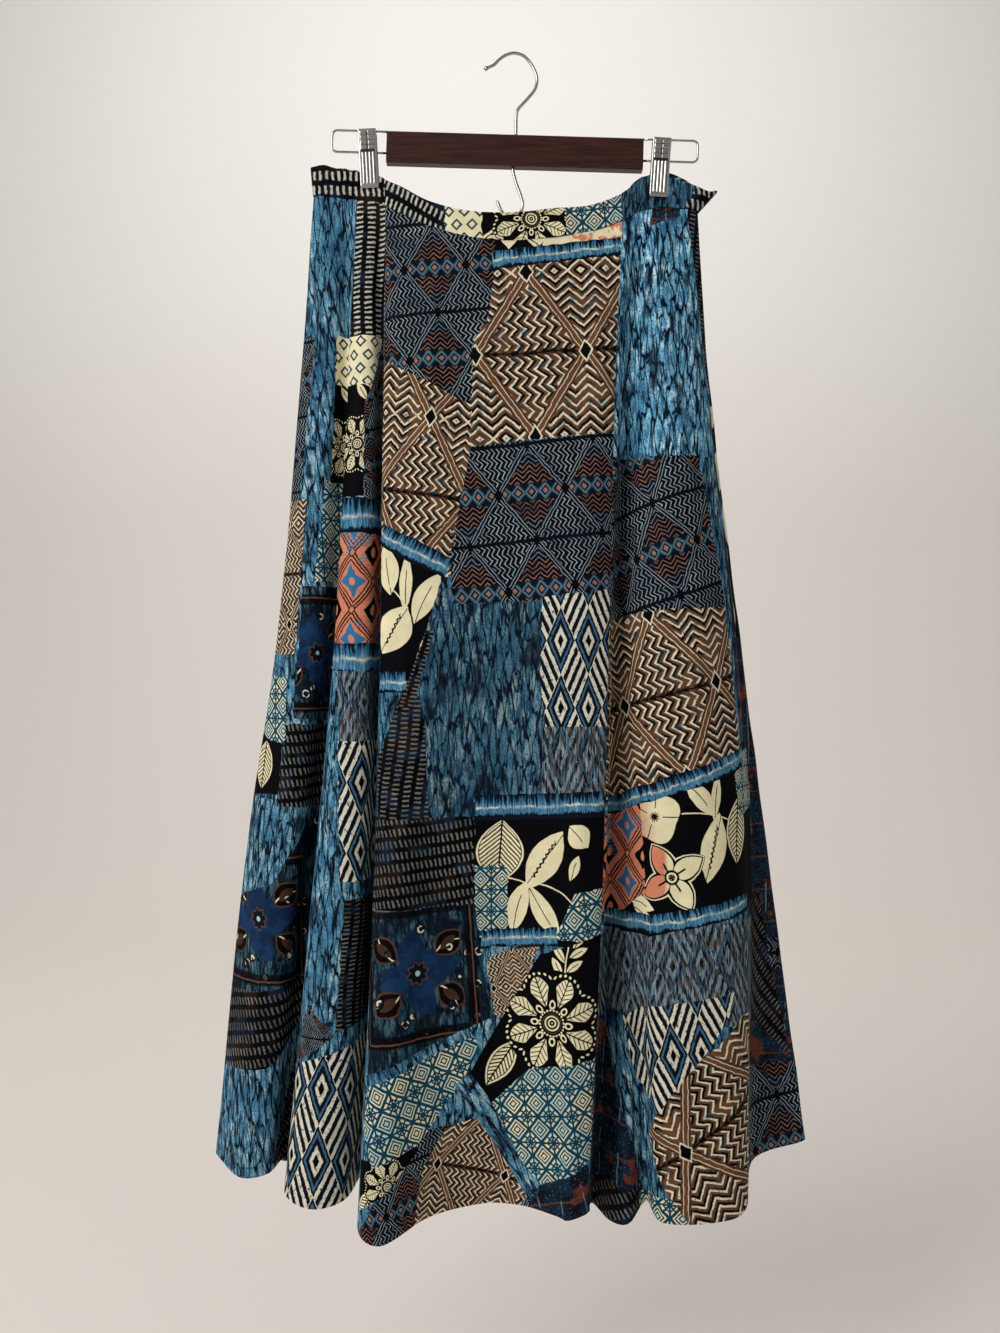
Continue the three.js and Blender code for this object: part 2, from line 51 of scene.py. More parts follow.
# ---- the skirt's folds, in millimetres --------------------------------------------------------
# One row for each crest, face or trough met going round from the left edge across the front,
# round the right edge and back behind. Heights of rim, waist seam and hem, then x and y of the
# cloth's middle at the levels rim, seam, hip, thigh, calf and hem.
LEVELS = np.array([0, 0.175, 0.455, 0.7, 1])  # seam to hem, as shares of the length
FOLDS = [
    ("left edge", -109, -136, -1054, [-192, -190, -201, -223, -254, -281], [-1, -1.5, -4, -7, -9, -8]),
    ("lobe 1 front", -108, -138, -1061, [-181, -180, -187, -202, -229, -254], [-3, -4, -12, -24, -32, -36]),
    ("lobe 1 inner", -111, -139, -1059,
     [-168, -168, -172, -184, -206, -229], [-2.6, -3.6, -14, -24, -32, -34]),
    ("valley 1 floor", -112, -140, -1055,
     [-159, -159, -163, -175, -196, -220], [-2.2, -2.8, -6, -8, -10, -12]),
    ("valley 1", -113, -140, -1056, [-153, -153, -157, -168, -188, -212], [-1.9, -2.4, -6, -8, -10, -12]),
    ("nose 2", -114, -141, -1068, [-148, -148, -155, -167, -184, -208], [-1.6, -2, -14, -26, -42, -54]),
    ("lobe 2 face", -115, -141, -1075, [-141, -141, -144, -152, -164, -183], [-1.6, -2, -22, -38, -54, -68]),
    ("lobe 2 right", -116, -142, -1072, [-135, -134, -133, -135, -141, -155], [-1.6, -2, -20, -34, -48, -58]),
    ("valley 2 floor", -118, -144, -1064,
     [-130, -130, -127.5, -128, -132, -143], [-1.7, -2.4, -9, -13, -19, -27]),
    ("valley 2", -119, -145, -1065, [-126, -125, -122, -121, -125, -135], [-1.9, -3, -9, -13, -19, -26]),
    ("nose 3", -123, -149, -1080, [-120, -119, -121, -123, -127, -138], [-3, -5, -22, -42, -62, -90]),
    ("front 1", -130, -156, -1088, [-106, -106, -106, -106, -107, -116], [-5, -7, -31, -50, -74, -106]),
    ("front 2", -144, -168, -1077, [-80, -79, -78, -77, -76, -78], [-7, -9, -34, -51, -66, -80]),
    ("front 3", -154, -179, -1073, [-43, -43, -41, -40, -40, -33], [-9, -11, -34, -48, -57, -62]),
    ("front 4", -156, -183, -1073, [-3, -3, -4, -2, 0, 5], [-10, -12, -34, -50, -60, -64]),
    ("front 5", -152, -180, -1074, [35, 35, 35, 35, 34, 37], [-9, -11, -36, -54, -69, -82]),
    ("front 6", -148, -173, -1073, [73, 75, 66, 60, 54, 47], [-7, -9, -37, -57, -77, -92]),
    ("nose 4", -136, -162, -1070, [103, 104, 95, 87, 79, 65], [-5, -8, -29, -48, -68, -84]),
    ("valley 3", -123, -153, -1076, [117, 119, 102, 90, 81, 68], [-2.4, -3.8, -18, -30, -43, -58]),
    ("valley 3 floor", -119, -151, -1085, [122, 124, 107, 95, 86, 74], [-1.8, -3, -12, -19, -26, -37]),
    ("tongue left", -118, -150, -1092, [125.5, 127.5, 112, 101, 94, 87], [-1.8, -2.6, -14, -23, -31, -53]),
    ("tongue", -117, -150, -1089, [129, 131, 117, 107, 104, 103], [-1.8, -2.4, -18, -28, -39, -66]),
    ("notch", -115, -148, -1076, [133, 135, 124, 116, 115, 121], [-1.6, -2, -25, -38, -46, -50]),
    ("right face", -114, -147, -1084, [140, 141, 140, 137, 133, 133], [-1.6, -2, -32, -51, -64, -74]),
    ("right middle", -119, -148, -1083, [148, 150, 161, 170, 175, 178], [-1.8, -3, -30, -48, -64, -76]),
    ("right nose", -126, -151, -1078, [166, 159, 177, 201, 210, 209], [-6, -7, -19, -30, -46, -62]),
    ("valley 4", -133, -151, -1052, [184, 169, 184, 210, 226, 225], [-5, -5, -8, -12, -15, -20]),
    ("right edge", -131, -152, -1040, [194, 176, 186, 215, 242, 274], [-1, -1.5, -4, -6, -7, -8]),
    ("right edge back", -131, -152, -1040, [193, 175, 185, 214, 241, 273], [1.5, 2, 1, 1, 1, 0]),
    ("back 1", -128, -148, -1043, [180, 167, 176, 195, 217, 245], [4, 5, 6, 6, 6, 6]),
    ("back trough 1", -118, -146, -1053, [163, 159, 162, 171, 186, 207], [2.4, 2.8, 4, 0, -4, -9]),
    ("back 2", -113, -146, -1056, [141, 142, 138, 142, 152, 171], [1.6, 2, 8, 9, 10, 10]),
    ("back trough 2", -128, -157, -1060, [114, 114, 112, 114, 118, 128], [2.8, 3.2, 5, 1, -3, -8]),
    ("back 3", -149, -172, -1062, [84, 84, 84, 84, 83, 83], [5, 6, 8, 9, 10, 10]),
    ("back trough 3", -153, -178, -1062, [46, 46, 46, 46, 46, 46], [6.5, 7, 6, 2, -3, -10]),
    ("back 4", -155, -181, -1064, [7, 7, 7, 7, 7, 7], [7, 8, 9, 10, 10, 10]),
    ("back trough 4", -153, -178, -1062, [-32, -32, -32, -33, -36, -36], [6.5, 7, 6, 1, -4, -8]),
    ("back 5", -149, -172, -1062, [-71, -71, -71, -74, -80, -80], [5, 6, 8, 9, 10, 10]),
    ("back trough 5", -129, -153, -1060, [-108, -108, -108, -112, -120, -124], [2.8, 3.2, 5, 1, -3, -10]),
    ("back 6", -114, -139, -1060, [-140, -140, -142, -148, -158, -168], [1.6, 2, 8, 9, 10, 10]),
    ("back trough 6", -109, -136, -1060, [-160, -160, -163, -174, -190, -207], [2.2, 2.8, 4, 0, -4, -6]),
    ("back 7", -108, -135, -1060, [-178, -177, -184, -202, -224, -248], [3, 4, 6, 6, 6, 6]),
    ("left edge back", -109, -136, -1053, [-191, -189, -200, -222, -253, -280], [1.5, 2, 1, 1, 0, 0]),
]
COUNT = len(FOLDS)
RIM, SEAM, HEM = (np.array([fold[k] for fold in FOLDS], float) for k in (1, 2, 3))
FOLD_X, FOLD_Y = (np.array([fold[k] for fold in FOLDS], float) for k in (4, 5))


def fold_number(name):
    return [fold[0] for fold in FOLDS].index(name)


LEFT_SEAM = fold_number("nose 3") - 0.5  # the side seams, as fold numbers
RIGHT_SEAM = fold_number("nose 4")
FRONT_SPAN = (LEFT_SEAM, RIGHT_SEAM)
BACK_SPAN = (RIGHT_SEAM, LEFT_SEAM + COUNT)


# ---- smooth surfaces through the folds --------------------------------------------------------
def along_length(values, v):
    """Values of each fold at shares v of the length, smooth through the levels."""
    k = np.clip(np.searchsorted(LEVELS, v) - 1, 0, len(LEVELS) - 2)

    def slope(i):
        low, high = np.maximum(i - 1, 0), np.minimum(i + 1, len(LEVELS) - 1)
        return (values[:, high] - values[:, low]) / (LEVELS[high] - LEVELS[low])

    span = LEVELS[k + 1] - LEVELS[k]
    t = (v - LEVELS[k]) / span
    return ((2 * t**3 - 3 * t**2 + 1) * values[:, k] + (t**3 - 2 * t**2 + t) * span * slope(k)
            + (3 * t**2 - 2 * t**3) * values[:, k + 1] + (t**3 - t**2) * span * slope(k + 1))


def round_ring(values, u):
    """Closed ring through one row of values for each fold, at fractional fold numbers u."""
    u = np.asarray(u, float) % COUNT
    i = np.floor(u).astype(int)
    t = (u - i)[:, None]
    a, b, c, d = (values[(i + step) % COUNT] for step in (-1, 0, 1, 2))
    return b + 0.5 * t * (c - a + t * (2 * a - 5 * b + 4 * c - d + t * (3 * (b - c) + d - a)))


def panel_surface(u, v):
    """Points of the cloth's middle below the seam, in millimetres, as [u, v, xyz]."""
    v = np.asarray(v, float)
    fall = SEAM[:, None] + (HEM - SEAM)[:, None] * v
    x, y = (along_length(values[:, 1:], v) for values in (FOLD_X, FOLD_Y))
    return np.stack([round_ring(values, u) for values in (x, y, fall)], axis=-1)


def band_surface(u, v):
    """Points of the waistband's middle: v is 0 at the rim and 1 at the seam."""
    v = np.asarray(v, float)
    mixed = [first[:, None] + (second - first)[:, None] * v for first, second in (
        (FOLD_X[:, 0], FOLD_X[:, 1]), (FOLD_Y[:, 0], FOLD_Y[:, 1]), (RIM, SEAM))]
    return np.stack([round_ring(values, u) for values in mixed], axis=-1)


FOLD_BONUS = 12  # mm added for each fold, so that tight ones get columns too


def even_columns(span, count):
    """Fold numbers spread evenly along the cloth from one seam to the other."""
    fine = np.linspace(*span, 1600)
    points = panel_surface(fine, [0, 0, 0.5, 1])
    steps = np.linalg.norm(np.diff(points, axis=0), axis=2).mean(axis=1) + FOLD_BONUS * np.diff(fine)
    length = np.concatenate([[0], np.cumsum(steps)])
    return np.interp(np.linspace(0, length[-1], count + 1), length, fine)


GATHERS = 34  # gathers round the elastic back
GATHER_DEPTH = 1.1
GATHER_FADE = 0.16  # share of the length in which they die out
SMOOTH_END = 15  # mm over which they rise from each side seam


def gather(u, v):
    """Height of the gathers, small where the clips press the waist flat."""
    fine = np.linspace(*BACK_SPAN, 1600)
    seam = panel_surface(fine, [0])[:, 0]
    length = np.concatenate([[0], np.cumsum(np.linalg.norm(np.diff(seam, axis=0), axis=1))])
    total = length[-1]
    along = np.interp(u, fine, length)
    ends = np.minimum(1, np.minimum(along, total - along) / SMOOTH_END)
    hollow = 2 * np.abs(panel_surface(u, [0])[:, 0, 1])
    room = np.clip((hollow - 4) / 8, 0.25, 1)
    phase = FULL_TURN * GATHERS * along / total
    wave = np.sin(phase + 0.5 * np.sin(phase * 0.37)) * (0.8 + 0.2 * np.sin(phase * 0.23))
    fade = np.maximum(0, 1 - np.asarray(v, float) / GATHER_FADE)
    return (GATHER_DEPTH * ends * room * wave)[:, None] * fade


# ---- the print's layout -------------------------------------------------------------------------
# A patch is a motif inside a convex outline, and earlier patches lie over later ones. Points are
# (across, height) in millimetres on the front panel and the front of the waistband, where across
# is measured along the cloth from the middle, and (fold number, height) on what wraps round behind.
# "at" is where the motif's own middle lies, "turn" turns it to the left in degrees and "size"
# scales it.
def patch(motif, outline, at=None, turn=0, size=1):
    return {"motif": motif, "outline": outline, "at": at, "turn": turn, "size": size}


def strip(motif, start, end, width, size=1, turn=0):
    """A narrow patch from one point to another on the front."""
    (x0, z0), (x1, z1) = start, end
    length = math.hypot(x1 - x0, z1 - z0)
    nx, nz = (z0 - z1) / length * width / 2, (x1 - x0) / length * width / 2
    outline = [(x0 - nx, z0 - nz), (x1 - nx, z1 - nz), (x1 + nx, z1 + nz), (x0 + nx, z0 + nz)]
    return patch(motif, outline, turn=math.degrees(math.atan2(z1 - z0, x1 - x0)) + turn, size=size)


def block(motif, left, right, top, bottom, **more):
    """An upright patch."""
    return patch(motif, [(left, bottom), (right, bottom), (right, top), (left, top)], **more)


FRONT_PATCHES = [
    strip("fray", (-128, -464), (-60, -498), 20),
    strip("fray", (-126, -602), (-99, -602), 19),
    strip("fray", (-20, -203), (106, -188), 18),
    strip("fray", (-36, -717), (84, -711), 23),
    strip("fray", (-30, -835), (40, -829), 16),
    strip("crackle", (-145, -955), (-38, -918), 9),
    patch("cream_scraps", [(-18, -176), (106, -164), (106, -186), (-18, -200)], at=(40, -185)),
    patch("lattice", [(-21, -983), (14, -949), (84, -934), (84, -1016), (66, -1031), (26, -1050), (6, -1032)],
          turn=10),
    patch("crackle", [(-55, -964), (-40, -955), (26, -1050), (14, -1068)], turn=32),
    patch("rosette", [(24, -846), (84, -826), (90, -940), (-19, -990), (-42, -957)], at=(36, -906)),
    patch("lattice", [(-143, -958), (-36, -921), (-32, -933), (-47, -962), (-79, -1000), (-93, -1012),
                      (-135, -1024), (-146, -994)], turn=20),
    patch("zigzag_brown", [(-25, -852), (26, -832), (-5, -912), (-19, -902)], at=(30, -905), turn=10,
          size=0.42),
    patch("medallion", [(-150, -808), (-36, -803), (-21, -906), (-139, -950)], at=(-89, -862), turn=4),
    patch("petals", [(-155, -1022), (-93, -1010), (-90, -1016), (-127, -1048), (-155, -1064)],
          at=(-122, -1040), size=0.8),
    patch("dusk", [(22, -1046), (74, -1026), (84, -1085), (10, -1085)], turn=20),
    patch("zigzag_brown", [(-60, -1000), (-26, -994), (14, -1062), (-8, -1090), (-98, -1090), (-86, -1032)],
          at=(-40, -1040), turn=-15, size=0.62),
    patch("zigzag_navy", [(-150, -1000), (-90, -1000), (-50, -950), (24, -1062), (20, -1100),
                          (-160, -1100)], at=(-80, -1022), turn=8, size=0.8),
    patch("leaves_left", [(-128, -464), (-64, -498), (-82, -557), (-97, -601), (-127, -602)],
          at=(-97, -538)),
    patch("crackle", [(-127, -602), (-99, -602), (-124, -668)]),
    strip("ticks", (-80, -555), (-99, -625), 12, size=0.9),
    patch("ticks", [(-97, -600), (-83, -629), (-78, -726), (-128, -726), (-128, -668)], at=(-100, -680),
          turn=84),
    block("lattice", -36, -6, -768, -834, at=(-21, -800), size=0.85),
    patch("lattice", [(57, -790), (86, -786), (86, -832), (37, -832)], at=(68, -812), turn=8),
    block("leaves_front", -36, 86, -714, -838, at=(12, -782)),
    block("ticks", -142, -36, -724, -806, at=(-87, -761), turn=8),
    patch("ikat", [(26, -524), (92, -516), (92, -642), (29, -642), (24, -600)], at=(69, -564)),
    block("ikat_grey", 26, 92, -642, -716, at=(69, -668)),
    patch("zigzag_navy", [(-57, -530), (-59, -485), (-40, -384), (106, -370), (106, -524)],
          at=(-19, -385), turn=6),
    patch("crackle_deep", [(-140, -516), (96, -516), (96, -726), (-140, -726)]),
    patch("zigzag_brown", [(-15, -188), (106, -180), (106, -370), (-22, -381), (-24, -262)],
          at=(16, -295), turn=3),
    patch("zigzag_brown", [(-37, -282), (-20, -255), (-20, -382), (-41, -386)], at=(16, -295), turn=3),
    patch("zigzag_brown", [(-135, -294), (-96, -315), (-36, -343), (-36, -505), (-135, -505)],
          at=(-88, -428), turn=-8, size=0.9),
    block("zigzag_navy", -140, 0, -130, -345, at=(-103, -258), turn=5),
    block("crackle", -200, 200, -100, -1120),
]

LEFT_PATCHES = [  # the wrap's two lobes left of the front
    patch("fray", [(4.6, -428), (9.6, -434), (9.6, -464), (4.6, -462)], at=(6, -447), size=1.6),
    patch("fray", [(4.6, -566), (9.6, -566), (9.6, -592), (4.6, -592)], at=(6, -580), size=1.6),
    patch("zigzag_navy", [(6.4, -340), (8.4, -275), (9.6, -275), (9.6, -434), (6.5, -430)],
          at=(8, -360), size=0.7, turn=20),
    block("ticks_bold", 4.8, 9.6, -130, -275, at=(6, -200), size=1.15, turn=90),
    block("cream_diamonds", 4.4, 9.6, -275, -322, at=(6, -300)),
    patch("petals", [(4.4, -320), (9.6, -322), (9.6, -430), (4.4, -428)], at=(6, -379)),
    block("salmon", 4.4, 9.6, -460, -568, at=(5.9, -508)),
    patch("ikat_grey", [(5.4, -588), (9.6, -588), (9.6, -656), (5.7, -656)], at=(6.8, -620)),
    patch("ikat", [(5.7, -656), (9.6, -655), (9.6, -784), (6.2, -784)], at=(6.8, -694), size=1.05),
    patch("ticks", [(6.4, -800), (9.6, -799), (9.6, -902), (6.4, -918)], at=(7, -850), size=0.9, turn=86),
    patch("zigzag_navy", [(5.3, -895), (6.4, -922), (4.8, -953)], at=(5.5, -925), size=0.5),
    patch("ikat", [(4.6, -953), (9.6, -908), (9.6, -1090), (5.6, -1090), (4.6, -1070)],
          at=(7.1, -971), turn=-4, size=1.05),
    block("crackle", 4.6, 9.6, -130, -1090, at=(6, -800)),
    patch("ticks", [(3.4, -955), (4.6, -955), (4.6, -1075), (2.2, -1050)], at=(3.4, -1000), turn=30),
    patch("zigzag_brown", [(-0.4, -430), (0.9, -430), (0.9, -576), (-0.4, -576)], at=(0.2, -500), size=0.6),
    patch("zigzag_navy", [(-0.4, -274), (0.8, -274), (0.5, -430), (-0.4, -430)], at=(0.2, -350), size=0.8),
    block("cream_diamonds", 2.3, 4.4, -274, -320, at=(3.2, -300)),
    block("petals", 2.3, 4.4, -320, -413, at=(3.8, -379)),
    patch("lattice", [(1.9, -412), (4.6, -415), (4.6, -506), (1.6, -508)], at=(3.4, -460)),
    patch("medallion", [(1.0, -512), (4.6, -512), (4.6, -640), (1.2, -636)], at=(2.1, -575), size=0.9),
    patch("lattice", [(-0.4, -596), (0.7, -598), (1.0, -661), (-0.4, -650)], at=(0.4, -625)),
    patch("leaf_scrap", [(-0.4, -651), (0.9, -657), (1.0, -707), (-0.4, -709)], at=(0.3, -680)),
    patch("ticks", [(0.9, -641), (4.6, -643), (4.6, -720), (1.0, -718)], at=(2.2, -680), turn=6),
    patch("crackle", [(-0.5, -709), (2.9, -718), (1.2, -789), (-0.4, -808)], turn=-10),
    patch("medallion", [(-0.5, -800), (2.9, -716), (4.6, -716), (4.6, -878), (-0.5, -894)],
          at=(0.8, -823)),
    patch("ticks", [(-0.4, -892), (4.6, -879), (4.6, -905), (1.6, -960), (-0.4, -968)], at=(1.6, -925),
          size=1.1, turn=12),
    patch("crackle", [(-2, -120), (4.6, -120), (4.6, -1090), (-2, -1090)], at=(2, -600)),
]

RIGHT_PATCHES = [  # the wide lobe right of the front
    patch("fray", [(17, -708), (20, -708), (20, -725), (17, -725)], at=(19, -716)),
    patch("fray", [(20, -708), (22.6, -694), (22.6, -711), (20, -725)], at=(22.6, -703), turn=16),
    patch("fray", [(22.6, -694), (25.4, -661), (25.4, -679), (22.6, -711)], at=(23.9, -688), turn=19),
    patch("fray", [(17, -813), (22.6, -813), (22.6, -830), (17, -830)], at=(20, -821)),
    patch("fray", [(22.6, -813), (25.2, -795), (25.2, -812), (22.6, -830)], at=(23.9, -812), turn=11),
    patch("dusk", [(21.5, -130), (21.5, -167), (24.9, -158), (25.2, -130)], at=(23.5, -160)),
    # painted light: a brighter copy of the crackle where the light falls on this lobe
    block("crackle_pale", 17, 25.6, -140, -392, at=(23, -280)),
    patch("zigzag_navy", [(17, -390), (24.2, -372), (24.8, -487), (25, -532), (17, -546)],
          at=(23.6, -427), turn=17),
    patch("zigzag_brown", [(17, -540), (24.95, -530), (25.2, -672), (23.9, -688), (20, -716), (17, -716)],
          at=(23.1, -613), turn=14, size=0.95),
    patch("salmon", [(17, -716), (22.1, -714), (22.4, -794), (20.8, -812), (17, -822)],
          at=(21.2, -786), size=0.95),
    patch("lattice", [(24.85, -668), (26, -664), (26, -718), (24.95, -726)], at=(25.3, -690), size=0.8),
    patch("leaves_right", [(20.5, -832), (22, -690), (25.8, -655), (25.8, -805), (22.6, -832)],
          at=(23.4, -764)),
    patch("ikat", [(20.7, -908), (24.6, -882), (24.4, -906), (22.9, -989), (21.5, -961)],
          at=(22.5, -939), turn=6),
    patch("lattice", [(21.6, -1066), (23.2, -1062), (23.7, -1095), (21.6, -1095)]),
    patch("zigzag_brown", [(23.8, -940), (24.85, -905), (25.5, -905), (25.5, -1095), (23.6, -1095),
                           (22.4, -1011)], at=(24.5, -994), turn=33, size=0.95),
    patch("crackle", [(19.3, -905), (21.2, -905), (23.9, -1090), (22.6, -1095), (20.4, -975)], turn=8),
    block("ikat_grey", 17, 25.6, -820, -912, at=(23.2, -857), turn=4),
    patch("ticks", [(19, -1056), (21.8, -1060), (21.8, -1100), (18.6, -1100)], turn=24, size=1.2),
    block("dusk", 17, 21.6, -900, -1100, turn=-8),
    block("crackle", 16, 25.3, -120, -1100, at=(24, -480)),
    patch("ticks", [(25.3, -820), (26.3, -800), (27, -961), (25.6, -900)], turn=-50),
    block("zigzag_navy", 25.3, 27.6, -963, -1060, at=(26, -1000), turn=10),
    block("zigzag_navy", 25.3, 27.6, -845, -875, at=(26, -860)),
    patch("ticks", [(25.6, -150), (27.6, -150), (27.6, -330), (25.8, -330)], at=(26.5, -240), turn=80),
    patch("leaves_scrap", [(25.8, -330), (27.6, -330), (27.6, -560), (26, -560)], at=(26.5, -400)),
    block("dusk", 25.3, 27.6, -560, -1100),
]

BACK_PATCHES = [  # behind, where the same cloth goes on
    strip("fray", (27.6, -389), (42.6, -383), 14),
    strip("fray", (27.6, -716), (42.6, -722), 14),
    block("crackle", 27.6, 32.5, -120, -388, at=(30, -300)),
    block("zigzag_navy", 32.5, 38, -120, -388, at=(35, -260), turn=4),
    block("ticks", 38, 42.6, -120, -240, at=(40, -180), size=1.3),
    block("cream_diamonds", 38, 42.6, -240, -300, at=(40, -270)),
    block("petals", 38, 42.6, -300, -386, at=(40, -344), size=1.2),
    patch("zigzag_brown", [(27.6, -388), (34, -388), (33, -560), (27.6, -580)], at=(31, -480), turn=-6),
    block("ikat", 34, 38.5, -388, -540, at=(36, -450)),
    block("salmon", 38.5, 42.6, -388, -520, at=(40.5, -440)),
    patch("medallion", [(27.6, -580), (33, -560), (33, -716), (27.6, -716)], at=(30, -640)),
    block("zigzag_navy", 33, 38.5, -540, -716, at=(36, -620), turn=6),
    block("lattice", 38.5, 42.6, -520, -716, at=(40, -600)),
    block("leaves_right", 27.6, 34, -716, -838, at=(31, -778)),
    block("ticks", 34, 37, -716, -838, at=(35.5, -780), size=1.3, turn=90),
    block("leaves_front", 37, 42.6, -716, -838, at=(40, -778)),
    patch("ikat", [(27.6, -838), (34, -838), (32, -980), (27.6, -960)], at=(30, -900), size=1.2),
    patch("rosette", [(34, -838), (38, -838), (38.5, -940), (33, -950)], at=(36, -890)),
    block("ikat_grey", 38, 42.6, -838, -930, at=(40, -880), size=1.2),
    block("lattice", 33, 38.5, -940, -1020, at=(36, -980), turn=10),
    block("zigzag_brown", 38.5, 42.6, -930, -1100, at=(40, -1010), turn=-15, size=0.8),
    block("zigzag_navy", 27.6, 33, -960, -1100, at=(30, -1020), turn=8, size=0.8),
    block("crackle", 27, 43, -100, -1100, at=(35, -600)),
]

BAND_FRONT_PATCHES = [
    block("cream_diamonds", -66, -30, -100, -200, at=(-47, -174)),
    patch("striped_leaf", [(-32, -200), (-2, -200), (-12, -175), (-26, -186)], at=(-14, -186), size=0.9),
    block("petals", -30, 50, -100, -200, at=(17, -162), size=1.35),
    patch("lattice", [(47, -100), (58, -100), (120, -100), (120, -200), (40, -200)], at=(66, -165),
          turn=6),
    block("crackle_deep", 86, 130, -100, -200),
    block("ticks_bold", -140, -60, -90, -200, at=(-96, -152), size=1.35, turn=-26),
]

BAND_LEFT_PATCHES = [block("ticks_bold", -3, 9.6, -80, -200, at=(6, -126), size=1.35)]

BAND_BACK_PATCHES = [
    block("crackle_deep", 17, 25.4, -100, -200),
    block("ticks_bold", 25.4, 27.2, -90, -200, at=(26.5, -140), size=1.3),
    block("crackle", 27.2, 31, -90, -200),
    block("lattice", 31, 34, -90, -200, at=(32, -145)),
    block("petals", 34, 37, -90, -200, at=(35.5, -168), size=1.3),
    block("cream_diamonds", 37, 40, -90, -200, at=(38, -140)),
    block("ticks_bold", 40, 53, -80, -200, at=(45, -126), size=1.35),
]


# ---- cutting the cloth's grid along the patches ----------------------------------------------
def counter_clockwise(outline):
    area = sum(a[0] * b[1] - b[0] * a[1] for a, b in zip(outline, outline[1:] + outline[:1]))
    return outline if area > 0 else outline[::-1]


def cut(piece, a, b):
    """A convex piece cut along the line from a to b: its parts on the left and on the right."""
    side = [(b[0] - a[0]) * (p[3] - a[1]) - (b[1] - a[1]) * (p[2] - a[0]) for p in piece]
    left, right = [], []
    for i, p in enumerate(piece):
        if (side[i] > 0) != (side[i - 1] > 0):
            share = side[i - 1] / (side[i - 1] - side[i])
            crossing = tuple(q + (r - q) * share for q, r in zip(piece[i - 1], p))
            left.append(crossing)
            right.append(crossing)
        (left if side[i] > 0 else right).append(p)
    return left, right


def grid_area(piece):
    return 0.5 * abs(sum(p[0] * q[1] - q[0] * p[1] for p, q in zip(piece, piece[1:] + piece[:1])))


SLIVER = 1e-5  # share of a grid cell below which a cut-off part is dropped


def split(piece, outline):
    """The part of a convex piece inside a convex outline, and the parts outside."""
    outside = []
    inside = piece
    for a, b in zip(outline, outline[1:] + outline[:1]):
        inside, off = cut(inside, a, b)
        if len(inside) < 3 or grid_area(inside) < SLIVER:
            return None, [piece]
        if len(off) >= 3 and grid_area(off) >= SLIVER:
            outside.append(off)
    return inside, outside


def lay_patches(across, height, patches):
    """Cuts each cell of the grid along the patches: a list of (patch number, grid points)."""
    columns, rows = across.shape[0] - 1, across.shape[1] - 1
    owner = -np.ones((columns, rows), int)
    mixed = np.zeros((columns, rows), bool)
    apart = []
    outlines = [counter_clockwise(p["outline"]) for p in patches]
    for number, outline in enumerate(outlines):
        within = np.ones((columns, rows), bool)
        away = np.zeros((columns, rows), bool)
        for a, b in zip(outline, outline[1:] + outline[:1]):
            left = ((b[0] - a[0]) * (height - a[1]) - (b[1] - a[1]) * (across - a[0]) > 0).astype(int)
            corners = left[:-1, :-1] + left[1:, :-1] + left[:-1, 1:] + left[1:, 1:]
            within &= corners == 4
            away |= corners == 0
        free = (owner < 0) & ~mixed
        owner[free & within] = number
        mixed |= free & ~within & ~away
        apart.append(away)
    pieces = []
    for i in range(columns):
        for j in range(rows):
            cell = [(i, j), (i, j + 1), (i + 1, j + 1), (i + 1, j)]
            if not mixed[i, j]:
                pieces.append((max(owner[i, j], 0), cell))
                continue
            left_over = [[(float(p), float(q), float(across[p, q]), float(height[p, q])) for p, q in cell]]
            for number, outline in enumerate(outlines):
                if apart[number][i, j]:
                    continue
                rest = []
                for piece in left_over:
                    inside, outside = split(piece, outline)
                    rest += outside
                    if inside:
                        pieces.append((number, [(p[0], p[1]) for p in inside]))
                left_over = rest
            last = len(patches) - 1
            pieces += [(last, [(p[0], p[1]) for p in piece]) for piece in left_over]
    return pieces


DIGITS = 5  # grid points closer than this many decimals are one


def stitch(pieces):
    """Gives pieces that share an edge the same points along it."""
    rounded = []
    points_of_cell = {}
    for number, piece in pieces:
        points = []
        for p in piece:
            key = (round(p[0], DIGITS), round(p[1], DIGITS))
            if not points or points[-1] != key:
                points.append(key)
        if points[0] == points[-1]:
            points.pop()
        if len(points) < 3:
            continue
        rounded.append((number, points))
        for p in points:
            if p[0] % 1 and p[1] % 1:
                cells = [(math.floor(p[0]), math.floor(p[1]))]
            elif p[0] % 1:
                cells = [(math.floor(p[0]), p[1] - 1), (math.floor(p[0]), p[1])]
            elif p[1] % 1:
                cells = [(p[0] - 1, math.floor(p[1])), (p[0], math.floor(p[1]))]
            else:
                continue
            for cell in cells:
                points_of_cell.setdefault((int(cell[0]), int(cell[1])), set()).add(p)
    stitched = []
    for number, points in rounded:
        middle = [sum(p[k] for p in points) / len(points) for k in (0, 1)]
        near = points_of_cell.get((math.floor(middle[0]), math.floor(middle[1])))
        if near:
            full = []
            for p, q in zip(points, points[1:] + points[:1]):
                dx, dy = q[0] - p[0], q[1] - p[1]
                size = dx * dx + dy * dy
                between = []
                for r in near:
                    share = ((r[0] - p[0]) * dx + (r[1] - p[1]) * dy) / size
                    if 1e-4 < share < 1 - 1e-4:
                        off = (r[0] - p[0]) * dy - (r[1] - p[1]) * dx
                        if abs(off) < 3e-5 * math.sqrt(size) + 1e-9 and r not in (p, q):
                            between.append((share, r))
                full.append(p)
                full += [r for _, r in sorted(between)]
            points = full
        stitched.append((number, points))
    return stitched


